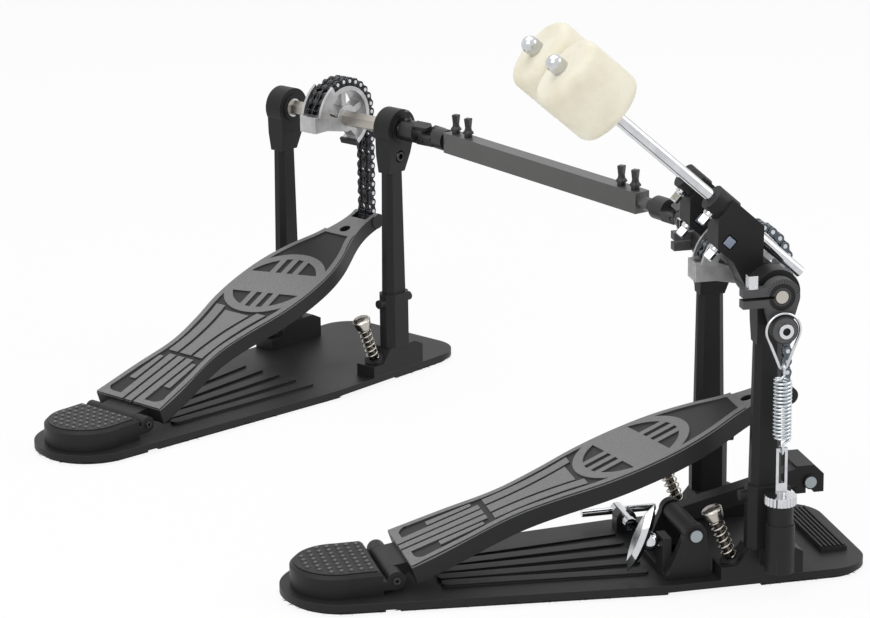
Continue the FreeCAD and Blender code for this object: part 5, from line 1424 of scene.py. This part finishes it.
class PEDAL_OT_heel_pads(PedalPiece):
    """Lay the studded grip on the heel plates"""

    bl_idname = "pedal.heel_pads"
    bl_label = "Heel grips"

    # Distances in millimetres.
    half = 29.0
    front = -264.0
    middle = -285.66
    radius = 29.34
    levels = (23.7, 24.95)
    rows = 8
    columns = 8
    first_row = 3.4
    pitch = 6.8
    stud_size = 2.3
    limit = 26.6

    def pad(self):
        """Slab inside the heel plate's edge, straight at the hinge and round at the heel."""
        end = math.degrees(math.acos(self.half / self.radius))
        across, along = X_WAY * self.radius, Y_WAY * self.radius
        arc = arc_points(Y_WAY * self.middle, across, along, end, -180 - end, 32)
        outline = [(self.half, self.front)] + [(p.x, p.y) for p in arc] + [(-self.half, self.front)]
        bm = bmesh.new()
        prism(bm, [(x * MM, y * MM) for x, y in outline], self.levels[0] * MM, self.levels[1] * MM)
        mesh = mesh_of("heel_pad", bm)
        mesh.transform(LAY_FLAT)
        return mesh

    def spots(self):
        """Places of the studs, in straight rows."""
        places = []
        for row in range(self.rows):
            y = self.front - self.first_row - row * self.pitch
            for column in range(self.columns):
                x = (column - self.columns // 2 + 0.5) * self.pitch
                if y > self.middle or math.hypot(x, y - self.middle) < self.limit:
                    places.append(Vector((x, y, self.levels[1] - 0.05)) * MM)
        return places

    def make(self, look, size):
        tree = stand_tree()
        for pedal, pose in PEDALS.items():
            material = heel_finish(look, pedal)
            pad = self.pad()
            pad.transform(pose)
            stud = lathe("stud", ((1.0, 0.0), (0.5, 0.48)), 4)
            spots = [(pose @ place, Z_WAY) for place in self.spots()]
            studs = stood(tree, stud, spots, pose.to_3x3() @ X_WAY, self.stud_size * MM, material)
            piece = joined(pedal + "_heel_pad", [pad, studs])
            hide_behind(piece, material, pedal + "_frame", "black_coat")


class PEDAL_OT_stage(bpy.types.Operator):
    """Set the pale floor, soft lights, white surround and camera"""

    bl_idname = "pedal.stage"
    bl_label = "Stage"
    bl_options = {"REGISTER", "UNDO"}

    floor_half = 4.0
    floor_level = -0.3 * MM

    def blend(self, tree, plain, bright, share, output):
        """End a tree in a plain shader, and a bright one for its share of the rays that see the surround."""
        path = add_node(tree, "ShaderNodeLightPath").outputs
        seen = path["Is Camera Ray"]
        for ray in ("Is Glossy Ray", "Is Transmission Ray"):
            sockets = {0: seen, 1: path[ray]}
            seen = add_node(tree, "ShaderNodeMath", {"operation": "MAXIMUM"}, sockets).outputs[0]
        if share < 1:
            sockets = {0: seen, 1: share}
            seen = add_node(tree, "ShaderNodeMath", {"operation": "MULTIPLY"}, sockets).outputs[0]
        sockets = {0: seen, 1: plain.outputs[0], 2: bright.outputs[0]}
        mix = add_node(tree, "ShaderNodeMixShader", None, sockets)
        plug(tree, tree.nodes[output].inputs["Surface"], mix.outputs[0])

    def surround(self):
        world = bpy.data.worlds.new("studio_white")
        world.use_nodes = True
        tree = world.node_tree
        plain = tree.nodes["Background"]
        plain.inputs["Color"].default_value = grey(1.0)
        plain.inputs["Strength"].default_value = 0.42
        white = add_node(tree, "ShaderNodeBackground", None, {"Color": grey(1.0), "Strength": 1.0})
        self.blend(tree, plain, white, 1.0, "World Output")
        bpy.context.scene.world = world

    def floor(self, colour):
        signs = ((-1, -1), (1, -1), (1, 1), (-1, 1))
        corners = [(x * self.floor_half, y * self.floor_half, self.floor_level) for x, y in signs]
        floor = new_piece("floor", mesh_from("floor", corners, (), [(0, 1, 2, 3)]))
        finish = Finish("floor_pale", {"Base Color": rgb(colour), "Roughness": 0.9})
        glow = add_node(finish.tree, "ShaderNodeEmission", None, {"Color": grey(1.0)})
        self.blend(finish.tree, finish.shader, glow, 0.9, "Material Output")
        floor.data.materials.append(finish.material)

    def light(self, name, place, target, size, power):
        lamp = bpy.data.lights.new(name, "AREA")
        lamp.size = size
        lamp.energy = power
        piece = bpy.data.objects.new(name, lamp)
        piece.location = place
        piece.rotation_euler = (Vector(target) - Vector(place)).to_track_quat("-Z", "Y").to_euler()
        bpy.context.scene.collection.objects.link(piece)

    def camera(self, stage):
        lens = bpy.data.cameras.new("camera")
        lens.sensor_fit = "HORIZONTAL"
        lens.sensor_width = 36
        lens.lens = stage.lens
        yaw, pitch, roll = stage.camera_yaw, stage.camera_pitch, stage.camera_roll
        ahead = Vector((-math.sin(yaw) * math.cos(pitch), math.cos(yaw) * math.cos(pitch), -math.sin(pitch)))
        right = Vector((math.cos(yaw), math.sin(yaw), 0))
        up = right.cross(ahead)
        level = math.cos(roll) * right + math.sin(roll) * up
        upright = math.cos(roll) * up - math.sin(roll) * right
        turn = Matrix((level, upright, -ahead)).transposed()
        camera = bpy.data.objects.new("camera", lens)
        camera.matrix_world = Matrix.Translation(stage.camera_place) @ turn.to_4x4()
        bpy.context.scene.collection.objects.link(camera)
        bpy.context.scene.camera = camera

    def execute(self, context):
        stage = context.scene.pedal_stage
        self.surround()
        self.floor(stage.floor_colour)
        self.light("key", (1.3, -1.5, 1.7), (-0.2, -0.1, 0.1), 1.5, 20)
        self.light("top", (-0.5, -0.3, 2.3), (-0.2, -0.1, 0.0), 2.2, 22)
        self.light("rim", (0.5, 1.7, 1.2), (-0.2, -0.1, 0.1), 1.4, 12)
        self.camera(stage)
        context.scene.view_settings.view_transform = "Standard"
        return {"FINISHED"}


class PEDAL_PT_panel(bpy.types.Panel):
    """List of the pedal's operators and properties"""

    bl_idname = "PEDAL_PT_panel"
    bl_label = "Double pedal"
    bl_space_type = "VIEW_3D"
    bl_region_type = "UI"
    bl_category = "Pedal"

    def draw(self, context):
        layout = self.layout
        for operator in OPERATORS:
            layout.operator(operator.bl_idname)
        scene = context.scene
        for group in (scene.pedal_finishes, scene.pedal_sizes, scene.pedal_stage):
            column = layout.column()
            for key in group.bl_rna.properties.keys():
                if key not in ("rna_type", "name"):
                    column.prop(group, key)


GROUPS = {"pedal_finishes": PedalFinishes, "pedal_sizes": PedalSizes, "pedal_stage": PedalStage}
OPERATORS = (
    PEDAL_OT_stage, PEDAL_OT_castings, PEDAL_OT_metal, PEDAL_OT_rubber,
    PEDAL_OT_chains, PEDAL_OT_springs, PEDAL_OT_spurs, PEDAL_OT_felts, PEDAL_OT_screws, PEDAL_OT_cam_pads,
    PEDAL_OT_board_tops, PEDAL_OT_heel_pads,
)


def register():
    for key, group in GROUPS.items():
        bpy.utils.register_class(group)
        setattr(bpy.types.Scene, key, bpy.props.PointerProperty(type=group))
    for piece in OPERATORS + (PEDAL_PT_panel,):
        bpy.utils.register_class(piece)


def unregister():
    for piece in reversed(OPERATORS + (PEDAL_PT_panel,)):
        bpy.utils.unregister_class(piece)
    for key, group in GROUPS.items():
        delattr(bpy.types.Scene, key)
        bpy.utils.unregister_class(group)


def main():
    register()
    bpy.ops.pedal.stage()
    bpy.ops.pedal.castings()
    bpy.ops.pedal.metal()
    bpy.ops.pedal.rubber()
    bpy.ops.pedal.chains()
    bpy.ops.pedal.springs()
    bpy.ops.pedal.spurs()
    bpy.ops.pedal.felts()
    bpy.ops.pedal.screws()
    bpy.ops.pedal.cam_pads()
    bpy.ops.pedal.board_tops()
    bpy.ops.pedal.heel_pads()


if __name__ == "__main__":
    main()
